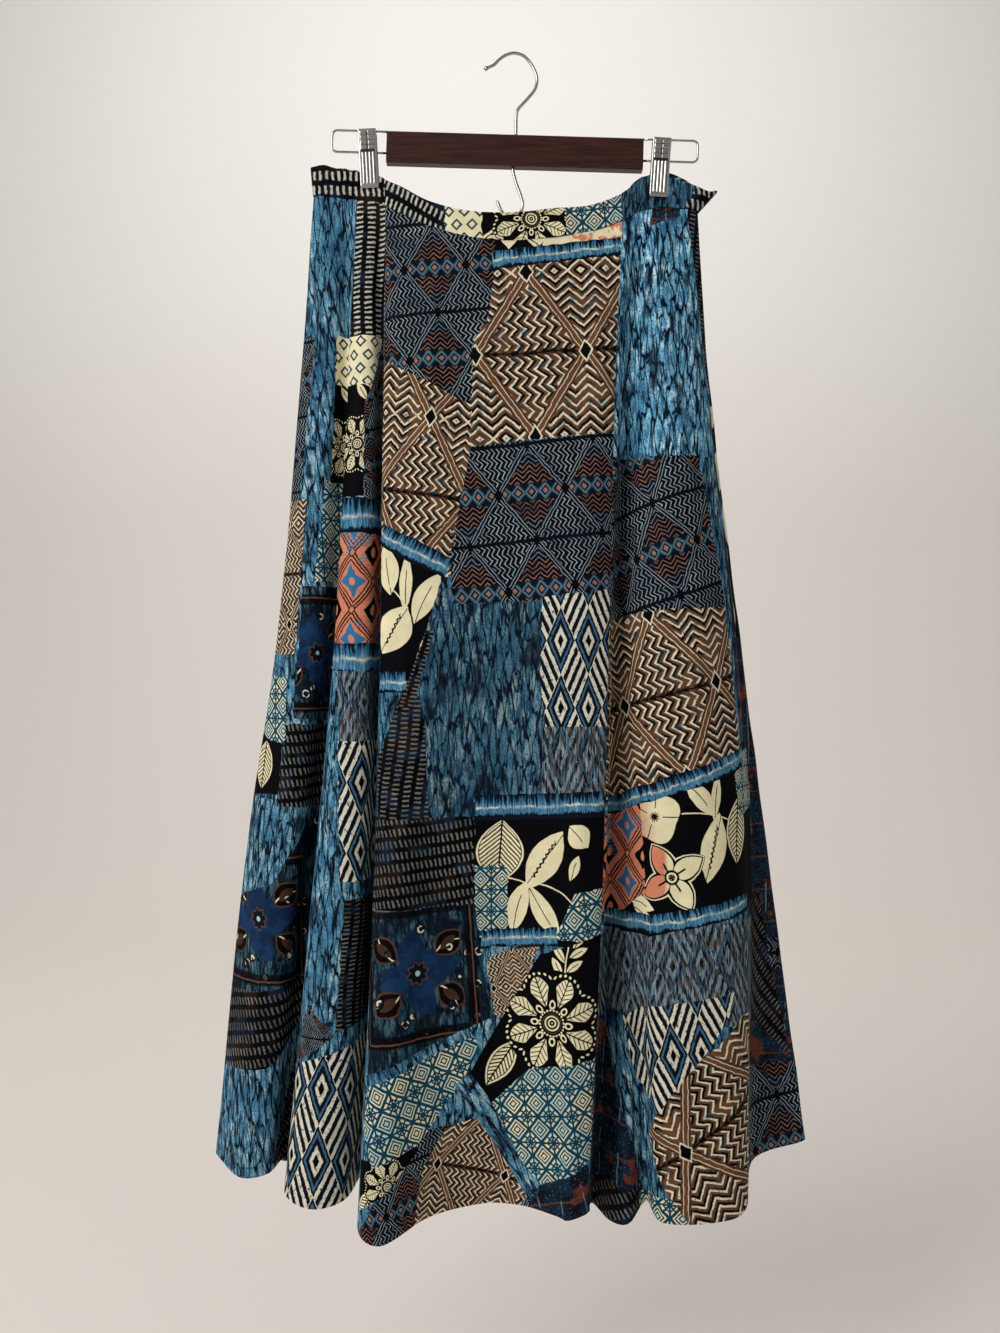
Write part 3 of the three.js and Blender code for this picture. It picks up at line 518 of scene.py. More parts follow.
# ---- soft creases -----------------------------------------------------------------------------
# Each crease is (from, to, half width, depth in mm): below zero it is a trough. Points are given
# as on the patches.
FRONT_CREASES = [
    ((-110, -190), (-96, -420), 11, -1.6), ((-88, -200), (-70, -520), 14, 1.6),
    ((-60, -215), (-52, -400), 9, -1.2), ((-30, -230), (-22, -560), 16, 1.3),
    ((6, -215), (14, -380), 10, -1.0), ((34, -220), (38, -700), 17, 1.5),
    ((62, -205), (58, -420), 11, -1.6), ((84, -195), (74, -520), 10, 1.6),
    ((-100, -560), (-108, -900), 16, 1.8), ((-70, -620), (-74, -1040), 18, -2.2),
    ((-40, -700), (-36, -1070), 15, 1.6), ((-8, -640), (-14, -1070), 16, -1.8),
    ((22, -760), (26, -1070), 14, 1.4), ((52, -560), (48, -980), 15, -1.6),
    ((-120, -300), (-60, -330), 9, -0.8), ((-30, -470), (50, -452), 12, 0.8),
    ((60, -640), (84, -560), 9, -0.9), ((-110, -742), (-50, -700), 10, 0.8),
    ((0, -880), (70, -850), 11, -0.8), ((-30, -1010), (40, -985), 10, 0.8),
]
BACK_CREASES = [
    ((6.2, -180), (5.6, -520), 7, 1.2), ((7.4, -250), (7.2, -700), 8, -1.2),
    ((5.4, -600), (5.3, -1000), 9, 1.5), ((6.6, -700), (6.7, -1060), 10, -1.6),
    ((1.2, -200), (1.4, -560), 8, 1.4), ((0.6, -420), (0.7, -900), 9, -1.4),
    ((2.0, -600), (2.0, -1040), 11, 1.6), ((1.3, -800), (1.5, -1050), 9, -1.4),
    ((0.2, -150), (1.6, -178), 5, -1.4), ((0.4, -196), (2.2, -172), 5, 1.2),
    ((0.3, -232), (1.8, -205), 6, -1.2),
    ((23.4, -170), (23.6, -420), 9, 1.8), ((24.3, -165), (24.4, -520), 8, -1.6),
    ((22.7, -260), (22.7, -640), 9, -1.6), ((24.7, -200), (24.75, -460), 7, 1.4),
    ((23.9, -430), (24.0, -820), 12, 1.7), ((23.1, -520), (23.3, -980), 13, -2.0),
    ((24.6, -700), (24.4, -1060), 12, 1.8), ((22.7, -800), (22.8, -1060), 10, 1.6),
    ((23.6, -860), (23.9, -1070), 12, -1.8), ((26.2, -400), (26.3, -900), 8, 1.2),
    ((23, -330), (24.6, -300), 8, -0.9), ((23, -560), (24.8, -600), 9, 0.9),
    ((23.2, -700), (24.6, -660), 8, -0.8),
    ((29.5, -170), (29.4, -520), 10, 1.4), ((32.6, -175), (32.4, -640), 12, -1.6),
    ((34.6, -200), (34.8, -560), 11, 1.4), ((36.5, -190), (36.4, -700), 12, -1.6),
    ((38.6, -170), (38.4, -480), 10, 1.4), ((41, -165), (41.2, -600), 10, -1.4),
    ((30.6, -640), (30.4, -1040), 14, 1.8), ((33.6, -560), (33.5, -1050), 15, -2.0),
    ((37.4, -620), (37.3, -1050), 14, 1.8), ((40.4, -600), (40.6, -1050), 14, -1.8),
    ((31, -420), (33.5, -440), 9, 0.9), ((36, -330), (38.4, -360), 9, -0.9),
    ((34, -800), (36.4, -770), 10, 0.9),
]


def nearest(across, height, point):
    """Grid indices of the point nearest to (across, height)."""
    reach = (across.max() - across.min()) / (height.max() - height.min())
    distance = (across - point[0]) ** 2 + ((height - point[1]) * reach) ** 2
    return np.unravel_index(np.argmin(distance), distance.shape)


def crease_relief(across, height, length, creases):
    """Height of the soft creases over the grid, in millimetres."""
    relief = np.zeros_like(height)
    for start, end, half_width, depth in creases:
        a, b = (nearest(across, height, point) for point in (start, end))
        ax, az = length[a], height[a]
        dx, dz = length[b] - ax, height[b] - az
        share = ((length - ax) * dx + (height - az) * dz) / (dx * dx + dz * dz)
        inside = np.clip(share, 0, 1)
        off = np.hypot(length - ax - inside * dx, height - az - inside * dz)
        taper = np.sin(np.pi * np.clip(share * 0.86 + 0.07, 0, 1)) ** 0.8
        relief += depth * taper * np.exp(-((off / half_width) ** 2))
    return relief


def slack(length, height, seed):
    """Slight uneven swell of thin cloth, made of a few long waves."""
    draw = random.Random(seed)
    swell = np.zeros_like(height)
    for _ in range(14):
        wave_across, wave_down = draw.uniform(0.05, 0.16), draw.uniform(0.008, 0.04)
        phase = draw.uniform(0, FULL_TURN)
        swell += np.sin(length * wave_across + height * wave_down * draw.choice([-1, 1]) + phase)
    return swell * 0.09


# ---- shader nodes ------------------------------------------------------------------------------
def set_inputs(tree, node, values):
    """Gives a node's inputs their values, colours, fields or other nodes' sockets."""
    for key, value in values.items():
        slot = node.inputs[key]
        value = getattr(value, "socket", value)
        if isinstance(value, bpy.types.NodeSocket):
            tree.links.new(value, slot)
        else:
            slot.default_value = (*value, 1) if slot.type == "RGBA" else value


def add_node(tree, kind, inputs, output=0, **settings):
    """Adds a shader node and returns one of its outputs."""
    node = tree.nodes.new("ShaderNode" + kind)
    for key, value in settings.items():
        setattr(node, key, value)
    set_inputs(tree, node, inputs)
    return node.outputs[output]


def noise_texture(tree, vector, scale, detail, output=0):
    return add_node(tree, "TexNoise", {"Vector": vector, "Scale": scale, "Detail": detail}, output)


def add_bump(tree, shader, height, strength, distance):
    normal = add_node(tree, "Bump", {"Strength": strength, "Distance": distance, "Height": height})
    set_inputs(tree, shader, {"Normal": normal})


def plain_material(name, colour, roughness, metallic=0):
    material = bpy.data.materials.new(name)
    material.use_nodes = True
    tree = material.node_tree
    shader = tree.nodes["Principled BSDF"]
    set_inputs(tree, shader, {"Base Color": colour, "Roughness": roughness, "Metallic": metallic})
    return material, tree, shader


def parts_of(tree, vector):
    """The three parts of a vector socket."""
    node = tree.nodes.new("ShaderNodeSeparateXYZ")
    set_inputs(tree, node, {0: vector})
    return [Field(tree, output) for output in node.outputs]


class Field:
    """A number that varies over a surface: a shader socket with arithmetic."""

    def __init__(self, tree, socket):
        self.tree = tree
        self.socket = socket

    def math(self, kind, *others, clamp=False):
        inputs = dict(enumerate((self, *others)))
        return Field(self.tree, add_node(self.tree, "Math", inputs, operation=kind, use_clamp=clamp))

    __add__ = partialmethod(math, "ADD")
    __sub__ = partialmethod(math, "SUBTRACT")
    __mul__ = partialmethod(math, "MULTIPLY")
    __truediv__ = partialmethod(math, "DIVIDE")
    __abs__ = partialmethod(math, "ABSOLUTE")
    fraction = partialmethod(math, "FRACT")
    floor = partialmethod(math, "FLOOR")
    sine = partialmethod(math, "SINE")
    least = partialmethod(math, "MINIMUM")
    most = partialmethod(math, "MAXIMUM")

    def __rsub__(self, other):
        return self.math("MULTIPLY_ADD", -1, other)

    def above(self, edge, soft=0.2):
        """1 where the field is above an edge, with a soft step."""
        return self.math("MULTIPLY_ADD", 1 / soft, 0.5 - edge / soft, clamp=True)

    def below(self, edge, soft=0.2):
        return self.math("MULTIPLY_ADD", -1 / soft, 0.5 + edge / soft, clamp=True)

    def near(self, middle, reach, soft):
        """1 where the field is within reach of a value."""
        return abs(self - middle).below(reach, soft)

    def from_half(self):
        """Distance from the middle of each period of 1."""
        return abs(self.fraction() - 0.5)

    def zigzag(self):
        """Triangle wave from 0 to 1 with a period of 1."""
        return self.from_half() * 2

    def line(self, width, soft=0.12):
        """1 on a line at each whole number, width being its share of the period."""
        return (self - 0.5).from_half().below(width / 2, soft)


# ---- the print's inks ---------------------------------------------------------------------------
BLACK = (0.0022, 0.002, 0.003)
INK_NAVY = (0.0035, 0.0065, 0.014)
NAVY = (0.008, 0.021, 0.044)
DEEP_BLUE = (0.021, 0.086, 0.172)
DENIM = (0.048, 0.178, 0.306)
SKY = (0.160, 0.362, 0.495)
PALE_BLUE = (0.42, 0.58, 0.60)
TEAL = (0.004, 0.052, 0.094)
CREAM = (0.80, 0.73, 0.47)
PALE = (0.76, 0.69, 0.52)
BROWN = (0.140, 0.061, 0.029)
SALMON = (0.66, 0.235, 0.135)
GREY_BROWN = (0.115, 0.082, 0.070)

HEM_STITCH = 9  # mm from the hem's edge to its stitching
STITCH = 3.2  # mm from one stitch to the next
THREAD = 0.62  # mm from one thread of the weave to the next


class Paint:
    """One procedural cloth material: its node tree, its coordinates and its colour so far."""

    def __init__(self, name, ground, wobble):
        self.material, self.tree, self.shader = plain_material(name, ground, 0.6)
        self.ground = self.colour = ground
        print_at, self.cloth_at = (add_node(self.tree, "Attribute", {}, "Vector", attribute_name=key)
                                   for key in ("print_at", "cloth_at"))
        x, y, self.seed = parts_of(self.tree, print_at)
        bend, fine = (parts_of(self.tree, noise_texture(self.tree, print_at, 1 / period, 1, 1))
                      for period in (7, 1.6))
        self.x, self.y = (at + (b - 0.5) * (4 * wobble) + (f - 0.5) * (0.9 * wobble)
                          for at, b, f in zip((x, y), bend, fine))
        self.cloth = parts_of(self.tree, self.cloth_at)

    def join(self, x, y, z=0):
        return add_node(self.tree, "CombineXYZ", {0: x, 1: y, 2: z})

    def noise(self, scale, detail=2):
        """Noise over the print, from 0 to 1."""
        return Field(self.tree, noise_texture(self.tree, self.join(self.x, self.y, self.seed), scale, detail))

    def streaks(self, across, down, detail, shift=0):
        """Noise with its own scales across and down the print."""
        place = self.join(self.x * across, self.y * down, self.seed + shift)
        return Field(self.tree, noise_texture(self.tree, place, 1, detail))

    def turned(self, x, y, angle):
        """Coordinates about a point, along and across a direction in degrees."""
        c, s = math.cos(math.radians(angle)), math.sin(math.radians(angle))
        dx, dy = self.x - x, self.y - y
        return dx * c + dy * s, dy * c - dx * s

    def ink(self, colour, mask):
        """Prints a colour where the mask is 1."""
        self.colour = add_node(self.tree, "Mix", {0: mask, 6: self.colour, 7: colour}, 2, data_type="RGBA")

    def finish(self):
        """Adds the grain of the print, the hem's stitching, the weave's relief and the sheen."""
        tree, shader = self.tree, self.shader
        along, down, from_hem = self.cloth
        hem_line = from_hem.near(HEM_STITCH, 0.8, 0.5)
        stitches = hem_line * (along / STITCH).zigzag().above(0.35, 0.2)
        shade = (self.noise(1.4, 3) - 0.5) * 0.55 + (self.noise(0.05, 3) - 0.5) * 0.5 + 1
        shade = shade * (stitches * -0.35 + 1)
        colour = add_node(tree, "Mix", {0: 1, 6: self.colour, 7: self.join(shade, shade, shade)}, 2,
                          data_type="RGBA", blend_type="MULTIPLY")
        weave = (along * (FULL_TURN / THREAD)).sine() * (down * (FULL_TURN / THREAD)).sine()
        crumple = Field(tree, noise_texture(tree, self.cloth_at, 0.11, 4))
        creases = Field(tree, noise_texture(tree, self.join(along * 0.07, down * 0.014), 1, 3))
        add_bump(tree, shader, weave * 0.04 + crumple * 1.6 + creases * 3 - hem_line * 0.5, 0.45, 0.0012)
        set_inputs(tree, shader, {"Base Color": colour, "Specular IOR Level": 0.03,
                                  "Sheen Weight": 0.003, "Sheen Roughness": 0.5})
        return self.material


# ---- the motifs, with coordinates in millimetres ------------------------------------------------
def rhombs(paint, width, height):
    """A net of rhombs: which rows are odd, and the place in the cell in several measures."""
    p = paint.x / width + paint.y / height + 0.5
    q = paint.x / width - paint.y / height + 0.5
    fp, fq = p.fraction() - 0.5, q.fraction() - 0.5
    widest, narrowest = abs(fp).most(abs(fq)), abs(fp).least(abs(fq))
    odd = (((p.floor() - q.floor()) / 2).fraction() * 2).above(0.5, 0.01)
    column = ((p.floor() + q.floor()) / 4).fraction()
    return SimpleNamespace(odd=odd, even=1 - odd, column=column, x=fp + fq, y=fp - fq, fp=fp, fq=fq,
                           edge=0.5 - widest, ring=widest * 2, knot=narrowest)


def zigzag_cloth(paint, line, size, pitch, wave, spread, gap, accents=None):
    """Raffia-style zigzags: rhombs of upright zigzags between rows of rhombs with level ones."""
    half_width, half_height = size[0] / 2, size[1] / 2
    net = rhombs(paint, *size)
    odd, even = net.odd, net.even
    upright = (net.x * (half_width / pitch) + (net.y * (half_height / wave)).zigzag() * 0.95
               + net.y * (half_height / pitch * 0.16))
    level = abs(net.y) * (half_height / pitch) - (net.x * (half_width / spread)).zigzag() * 1.25
    from_middle = abs(net.y) * half_height
    band = from_middle.below(gap, 0.6) * even
    dim = paint.noise(0.035)
    dark = (upright - 0.31).line(0.42, 0.10) * even + (level - 0.31).line(0.42, 0.10) * odd
    paint.ink(BLACK, dark * dim.above(0.42, 0.08))
    paint.ink(BLACK, (upright.line(0.46, 0.14) * even + level.line(0.46, 0.14) * odd) * 0.6)
    clear = net.edge.above(0.06, 0.01)
    share = paint.noise(0.09) * 0.26 + (0.08 if accents else 0.145)
    upright_line, level_line = (((way - 0.5).zigzag() - share).below(0, 0.22) for way in (upright, level))
    lines = (upright_line * even + level_line * odd) * clear * (1 - band)
    broken = paint.noise(0.5).above(0.34, 0.10)
    if accents:
        rust, blue = accents
        middle = from_middle.below(8, 0.5)
        fade = dim.above(0.42, 0.25) * 0.55 + 0.45
        paint.ink(line, lines * even * broken * fade)
        paint.ink(rust, lines * odd * (1 - middle) * fade)
        paint.ink(blue, lines * odd * (1 - middle) * from_middle.above(size[1] * 0.30, 1) * broken)
        paint.ink(paint.ground, middle * odd)
        bead = (net.x * (half_width / 12.5) + 0.5).zigzag() + from_middle / 7.5
        paint.ink(blue, bead.near(0.86, 0.12, 0.10) * odd * middle * clear)
        paint.ink(blue, bead.near(1.12, 0.07, 0.08) * odd * middle * clear * 0.5)
        paint.ink(rust, bead.below(0.40, 0.10) * odd * middle * clear)
    else:
        paint.ink(line, lines * broken)
        tint = paint.noise(0.11, 3).above(0.62, 0.06)
        paint.ink((0.16, 0.27, 0.32), lines * tint * 0.75)
        paint.ink((0.008, 0.035, 0.05), dark * tint * clear)
        knots = (net.x * (half_width / 17)).zigzag() * 3.4 - 1.4
        paint.ink(BLACK, (from_middle - knots.most(0.7)).below(0, 0.5) * even * broken)
    paint.ink(paint.ground, net.edge.below(0.052, 0.008))
    paint.ink(BLACK, net.edge.near(0.045, 0.5 / size[1], 0.006) * 0.8)
    border = net.edge.near(0.027, 0.65 / size[1], 0.006)
    paint.ink(line, border * broken * (0.7 if accents else 1))
    paint.ink(BLACK, net.knot.above(0.43, 0.01))
    if not accents:
        paint.ink(line, net.knot.near(0.437, 0.008, 0.006))


def veins(paint, width, height, shift):
    """Distance, in cell widths, from a net of long wavering cells that run down the cloth."""
    sway = paint.streaks(0.06, 0.013, 3, shift) - 0.5
    slip = paint.streaks(0.12, 0.012, 2, shift + 9) - 0.5
    across = paint.x / width + sway * 2.2
    down = paint.y / height + slip * 1.9
    place = across.fraction()
    swing = (down * FULL_TURN).sine() * ((across.floor() / 2).fraction() * 4 - 1) * 0.40
    return abs(place - swing).least(abs(place - 1 + swing))


def crackle(paint, bright):
    """Blue dyed cloth with dark veins that run down it. It paints over all. Its dyes are scaled by bright,
    and a bright above 1 is painted light.
    """
    def dye(colour, mask):
        paint.ink(tuple(c * bright for c in colour), mask)

    drift = paint.noise(0.024, 3)
    tone = paint.streaks(0.15, 0.05, 5)
    main = veins(paint, 4.9, 50, 0)
    fine = veins(paint, 7.3, 76, 4)
    dye(DEEP_BLUE, tone.above(0.32, 0.16))
    dye(DENIM, tone.above(0.43, 0.12) * drift.above(0.30, 0.16))
    strands = paint.streaks(0.27, 0.08, 4, 5)
    heart = main.above(0.20, 0.24)
    dye(SKY, strands.above(0.47, 0.14) * drift.above(0.40, 0.14) * heart * 0.9)
    dye(PALE_BLUE, strands.above(0.55, 0.10) * drift.above(0.51, 0.08) * heart * 0.8)
    dye(NAVY, paint.noise(0.55, 3).above(0.56, 0.08) * 0.6)
    width = paint.noise(0.10) * 0.15 + 0.055
    paint.ink(INK_NAVY, (main - width).below(-0.01, 0.08))
    paint.ink(INK_NAVY, (fine - width * 0.8).below(-0.02, 0.06) * 0.95)
    paint.ink(INK_NAVY, paint.streaks(0.05, 0.03, 3, 2).above(0.62, 0.08) * 0.8)


def ikat(paint, light, rim, ragged, greyed):
    """Feathered rhombs of diamonds and of slanting stripes."""
    paint.y = paint.y + (paint.streaks(1.1, 0.05, 2) - 0.5) * ragged
    net = rhombs(paint, 26, 61)
    worn = paint.noise(0.35, 3).above(0.36, 0.14)
    slanted = net.column.above(0.5, 0.01)
    slant = (net.fq * slanted + net.fp * (1 - slanted)) * 3.4 + 0.25
    paint.ink(light, slant.fraction().above(0.52, 0.10) * net.odd * worn)
    paint.ink(rim, net.ring.near(0.78, 0.07, 0.05) * net.even * worn)
    paint.ink(light, net.ring.below(0.46, 0.05) * net.even * worn)
    paint.ink(BLACK, net.ring.below(0.22, 0.05) * net.even)
    paint.ink(light, net.ring.above(0.955, 0.02) * net.odd * worn)
    if greyed:
        paint.ink(GREY_BROWN, paint.streaks(0.45, 0.09, 4).above(0.52, 0.08) * 0.65)
        streak = paint.streaks(0.8, 0.07, 3, 7)
        paint.ink(DENIM, streak.above(0.57, 0.10) * 0.5)
        paint.ink((0.34, 0.45, 0.48), streak.above(0.64, 0.07) * 0.7)
        paint.ink(INK_NAVY, streak.below(0.43, 0.08) * 0.75)


def ticks(paint, glow):
    """Mud-cloth rows of short upright dashes, as bright as glow."""
    paint.ink((0.016, 0.008, 0.006), paint.noise(0.035).above(0.60, 0.08))
    paint.ink((0.008, 0.018, 0.036), paint.noise(0.06).below(0.42, 0.1) * 0.8)
    row = paint.y / 10.3 + (paint.x / 19).sine() * 0.10
    column = paint.x / 4.3 + (row.floor() * 2.4).sine() * 1.3 + (row.fraction() - 0.5) * 0.25
    wide = paint.noise(0.45, 1) * 0.30 + 0.04
    dash = (wide - column.from_half()).above(0, 0.12) * row.from_half().below(0.30, 0.08)
    light = paint.noise(0.028).above(0.5 - glow * 0.3, 0.34) * 0.75 + 0.25
    paint.ink((0.50, 0.50, 0.43), dash * light * (0.24 + glow * 0.76))


def lattice(paint):
    """Cream squares with teal nested diamonds and stars, set on their points."""
    paint.ink((0.36, 0.52, 0.50), paint.noise(0.03).above(0.46, 0.16) * 0.7)
    u, v = (paint.x + paint.y) / 23, (paint.x - paint.y) / 23
    x, y = abs(u.fraction() - 0.5), abs(v.fraction() - 0.5)
    star = ((u.floor() + v.floor()) / 2).fraction().above(0.25, 0.01)
    square = x.most(y)
    paint.ink(TEAL, (square * 6.4 + 0.15).line(0.52, 0.14) * (1 - star))
    paint.ink(TEAL, x.least(y).least(abs(x - y) * 0.7).below(0.056, 0.02) * star)
    paint.ink(TEAL, square.near(0.27, 0.045, 0.02) * star)
    paint.ink(TEAL, square.above(0.44, 0.02))


def cream_diamonds(paint):
    """Cream cloth with small squared rings."""
    row = paint.y / 13
    x = (paint.x / 15 + row.floor() * 0.5).from_half()
    paint.ink(TEAL, (x * 1.2 + row.from_half()).near(0.36, 0.10, 0.05))


def draw_leaf(paint, style, x, y, length, width, angle, bend=0):
    """A cream leaf with a rib, with herringbone veins or with a torn dark heart."""
    along, across = paint.turned(x, y, angle)
    share = along / (length / 2)
    across = across + (share * share - 1) * bend
    edge = (1 - share * share) * (width / 2) - abs(across)
    inside = edge.above(0, 0.4)
    paint.ink(CREAM, inside)
    if style == "veins":
        paint.ink(BLACK, ((along + abs(across) * 0.9) / 4.2).line(0.40, 0.14) * edge.above(2.6, 0.4))
        paint.ink(BLACK, edge.near(2.3, 0.42, 0.3))
        paint.ink(BLACK, abs(across).below(0.75, 0.3) * inside)
    elif style == "heart":
        tear = (along / 5).zigzag() * 2 - 0.4
        paint.ink(BLACK, across.near(tear, 0.9, 0.4) * abs(share).below(0.62, 0.1))
        paint.ink(BLACK, abs(across + share * 2.2).below(0.38, 0.2) * inside)
    else:
        rib = abs(across + share * share * 1.2).below(0.42, 0.2)
        paint.ink(BLACK, rib * share.below(0.45, 0.1) * inside)


def draw_stem(paint, x, y, length, bow, angle):
    """A thin cream stem, slightly bowed."""
    along, across = paint.turned(x, y, angle)
    share = along / (length / 2)
    across = across + (share * share - 1) * bow
    paint.ink(CREAM, abs(across).below(0.65, 0.3) * abs(share).below(1, 0.02))


def polar(dx, dy):
    """Distance from a point, and the direction to it in radians."""
    return (dx * dx + dy * dy).math("SQRT"), dy.math("ARCTAN2", dx)


def draw_flower(paint, x, y, radius, petals, angle):
    """An open flower: petals with a dark gap and an outline, a salmon side and a ringed eye."""
    distance, around = polar(*paint.turned(x, y, angle))
    off = distance * ((around * (petals / FULL_TURN)).from_half() * (FULL_TURN / petals)).sine()
    share = distance / radius
    body = share * (1 - share) * (radius * 1.38) - off
    paint.ink(BLACK, body.above(-1.2, 0.3) * share.below(1.02, 0.02))
    paint.ink(CREAM, body.above(-0.2, 0.3) * share.below(1.02, 0.02))
    paint.ink(BLACK, body.above(1.3, 0.3))
    heart = body.above(3.2, 0.3) * share.above(0.2, 0.03)
    paint.ink(CREAM, heart)
    paint.ink(SALMON, heart * paint.x.below(x - 5, 4))
    paint.ink(BLACK, off.below(0.9, 0.3) * share.below(0.42, 0.05))
    paint.ink(CREAM, distance.near(radius * 0.11, 0.9, 0.3))


def draw_poppy(paint, x, y, radius):
    """A broad flower of four blunt petals with a salmon side."""
    dx, dy = paint.turned(x, y, 12)
    distance, around = polar(dx, dy)
    edge = (around * 4 + 0.6).sine() * (radius * 0.08) - distance + radius * 0.9
    paint.ink(CREAM, edge.above(0, 0.4))
    paint.ink(SALMON, edge.above(0, 0.4) * dx.below(-radius * 0.35, radius * 0.7) * 0.85)
    for turn in (0, 85, 160, 250):
        along, across = paint.turned(x, y, turn)
        gap = abs(across).below(0.5, 0.2) * along.above(radius * 0.3, 0.5)
        paint.ink(BLACK, gap * edge.above(-0.2, 0.3))
    spikes = (around * (11 / FULL_TURN)).zigzag() * 3 + 2.2
    paint.ink(BLACK, (spikes - distance).above(0, 0.4))


def drawing(paint, *rows):
    """Leaves, stems and flowers, each row a kind and its numbers."""
    for kind, *numbers in rows:
        draw = {"stem": draw_stem, "flower": draw_flower, "poppy": draw_poppy}.get(kind)
        if draw:
            draw(paint, *numbers)
        else:
            draw_leaf(paint, kind, *numbers)


LEAVES_FRONT = [  # leaf style, x, y, length, width, angle, bend; or a stem with its bow for a width
    ("veins", -25, 26, 58, 44, 86), ("heart", 16, 20, 62, 28, 58), ("rib", 48, 42, 26, 22, -48),
    ("rib", 44, 14, 24, 10, 70), ("rib", -7, -23, 50, 19, 74, 2), ("rib", 17, -26, 54, 18, -58, -2),
    ("stem", -12, -1, 30, 3, -10), ("stem", 26, -9, 36, 3, -26),
]
LEAVES_LEFT = [
    ("rib", -22, 40, 48, 24, 100), ("rib", -3, 27, 54, 12, 88), ("rib", 17, 13, 52, 21, 62, 2),
    ("heart", -14, -16, 50, 34, 62), ("stem", -12, 16, 34, 1, -48), ("veins", 14, -40, 60, 12, 76),
]
LEAVES_RIGHT = [
    ("stem", 26, 40, 46, 3, -8), ("rib", 20, 56, 40, 17, -50, 2), ("rib", 36, 58, 46, 10, 84),
    ("poppy", -22, 40, 26), ("heart", 33, 12, 64, 25, 78), ("veins", 60, 26, 60, 26, 86),
    ("rib", -38, -40, 32, 13, -14), ("rib", -34, -51, 34, 10, -30), ("flower", -6, -14, 35, 4, 78),
]
SCATTER = [
    (0, 0, 46, 26, 80), (-18, 46, 40, 20, 50), (14, 62, 44, 16, 110), (-6, 108, 48, 22, 66),
    (10, -52, 46, 20, 100), (-12, -96, 44, 24, 60), (8, -140, 46, 18, 96),
]
SPRIG = [(4, 50, 118), (21, 52, 32), (6, 62, 124), (25, 64, 26), (12, 76, 112), (26, 75, 50)]


def rosette(paint, radius):
    """A wheel of eight broad veined petals with dotted rims round a ringed eye, and a sprig."""
    petals = 8
    zoom = radius / 44
    draw_leaf(paint, "veins", -48 * zoom, -40 * zoom, 50, 22, 56)
    draw_stem(paint, 14, 58, 34, 1, 80)
    for x, y, angle in SPRIG:
        draw_leaf(paint, "rib", x, y, 19, 7, angle)
    distance, around = polar(paint.x, paint.y)
    distance = distance / zoom
    paint.ink(BLACK, distance.below(47, 0.5))
    turn = around * (petals / FULL_TURN)
    swing = turn.from_half() * (FULL_TURN / petals)
    off = distance * swing
    along = (distance - 29) / 13.4
    round_end = (1 - along * along).most(0).math("SQRT") * 9.4
    petal = round_end.least((distance - 13.5) * 0.5) - off
    paint.ink(CREAM, petal.above(0.3, 0.5))
    paint.ink(BLACK, ((distance - off * 0.9) / 4.6).line(0.24, 0.1) * petal.above(0.8, 0.4))
    paint.ink(BLACK, off.below(0.6, 0.3) * petal.above(0.3, 0.5))
    dots = (turn * 7).from_half() * (distance * (FULL_TURN / petals / 7))
    rim = distance - (swing * swing * -46 + 45.4)
    paint.ink(CREAM, (dots * dots + rim * rim).below(1.7, 0.8))
    inner = (turn + 0.5).from_half() * (FULL_TURN / petals) * distance
    bead = (distance - 16.4) * (distance - 16.4) * 0.5 + inner * inner
    paint.ink(CREAM, bead.below(8.5, 1))
    paint.ink(BLACK, bead.below(2.4, 0.6))
    small = (turn * 3).from_half() * (distance * (FULL_TURN / petals / 3))
    paint.ink(CREAM, (small * small + (distance - 11.4) * (distance - 11.4)).below(0.9, 0.4))
    paint.ink(CREAM, (distance / 3.1).line(0.46, 0.1) * distance.below(8.6, 0.3))


def salmon(paint):
    """Salmon net of black-lined diamonds with blue and black centres."""
    paint.ink((0.30, 0.12, 0.09), paint.noise(0.6, 3).above(0.55, 0.15) * 0.5)
    paint.x = paint.x + (paint.y * (math.pi / 27)).sine() * 1.6
    net = rhombs(paint, 44, 54)
    paint.ink(BLACK, net.ring.near(0.92, 0.045, 0.03))
    paint.ink(BLACK, net.ring.near(0.74, 0.036, 0.03) * net.even)
    lobes = abs(net.x) + abs(net.y)
    waist = abs(abs(net.x) - abs(net.y))
    centre = net.x * net.x * 1.2 + net.y * net.y
    paint.ink((0.035, 0.16, 0.33), (lobes - waist * 0.28).below(0.44, 0.03) * net.even)
    paint.ink(SALMON, centre.below(0.020, 0.008) * net.even)
    paint.ink(BLACK, lobes.below(0.50, 0.03) * net.odd)
    paint.ink(SALMON, centre.below(0.034, 0.01) * net.odd)
    paint.ink(BLACK, net.knot.above(0.41, 0.02))
    paint.ink(SALMON, net.knot.above(0.44, 0.02))
    paint.ink(DENIM, (paint.y / 3).line(0.5, 0.2) * paint.noise(0.03).above(0.62, 0.04) * 0.8)


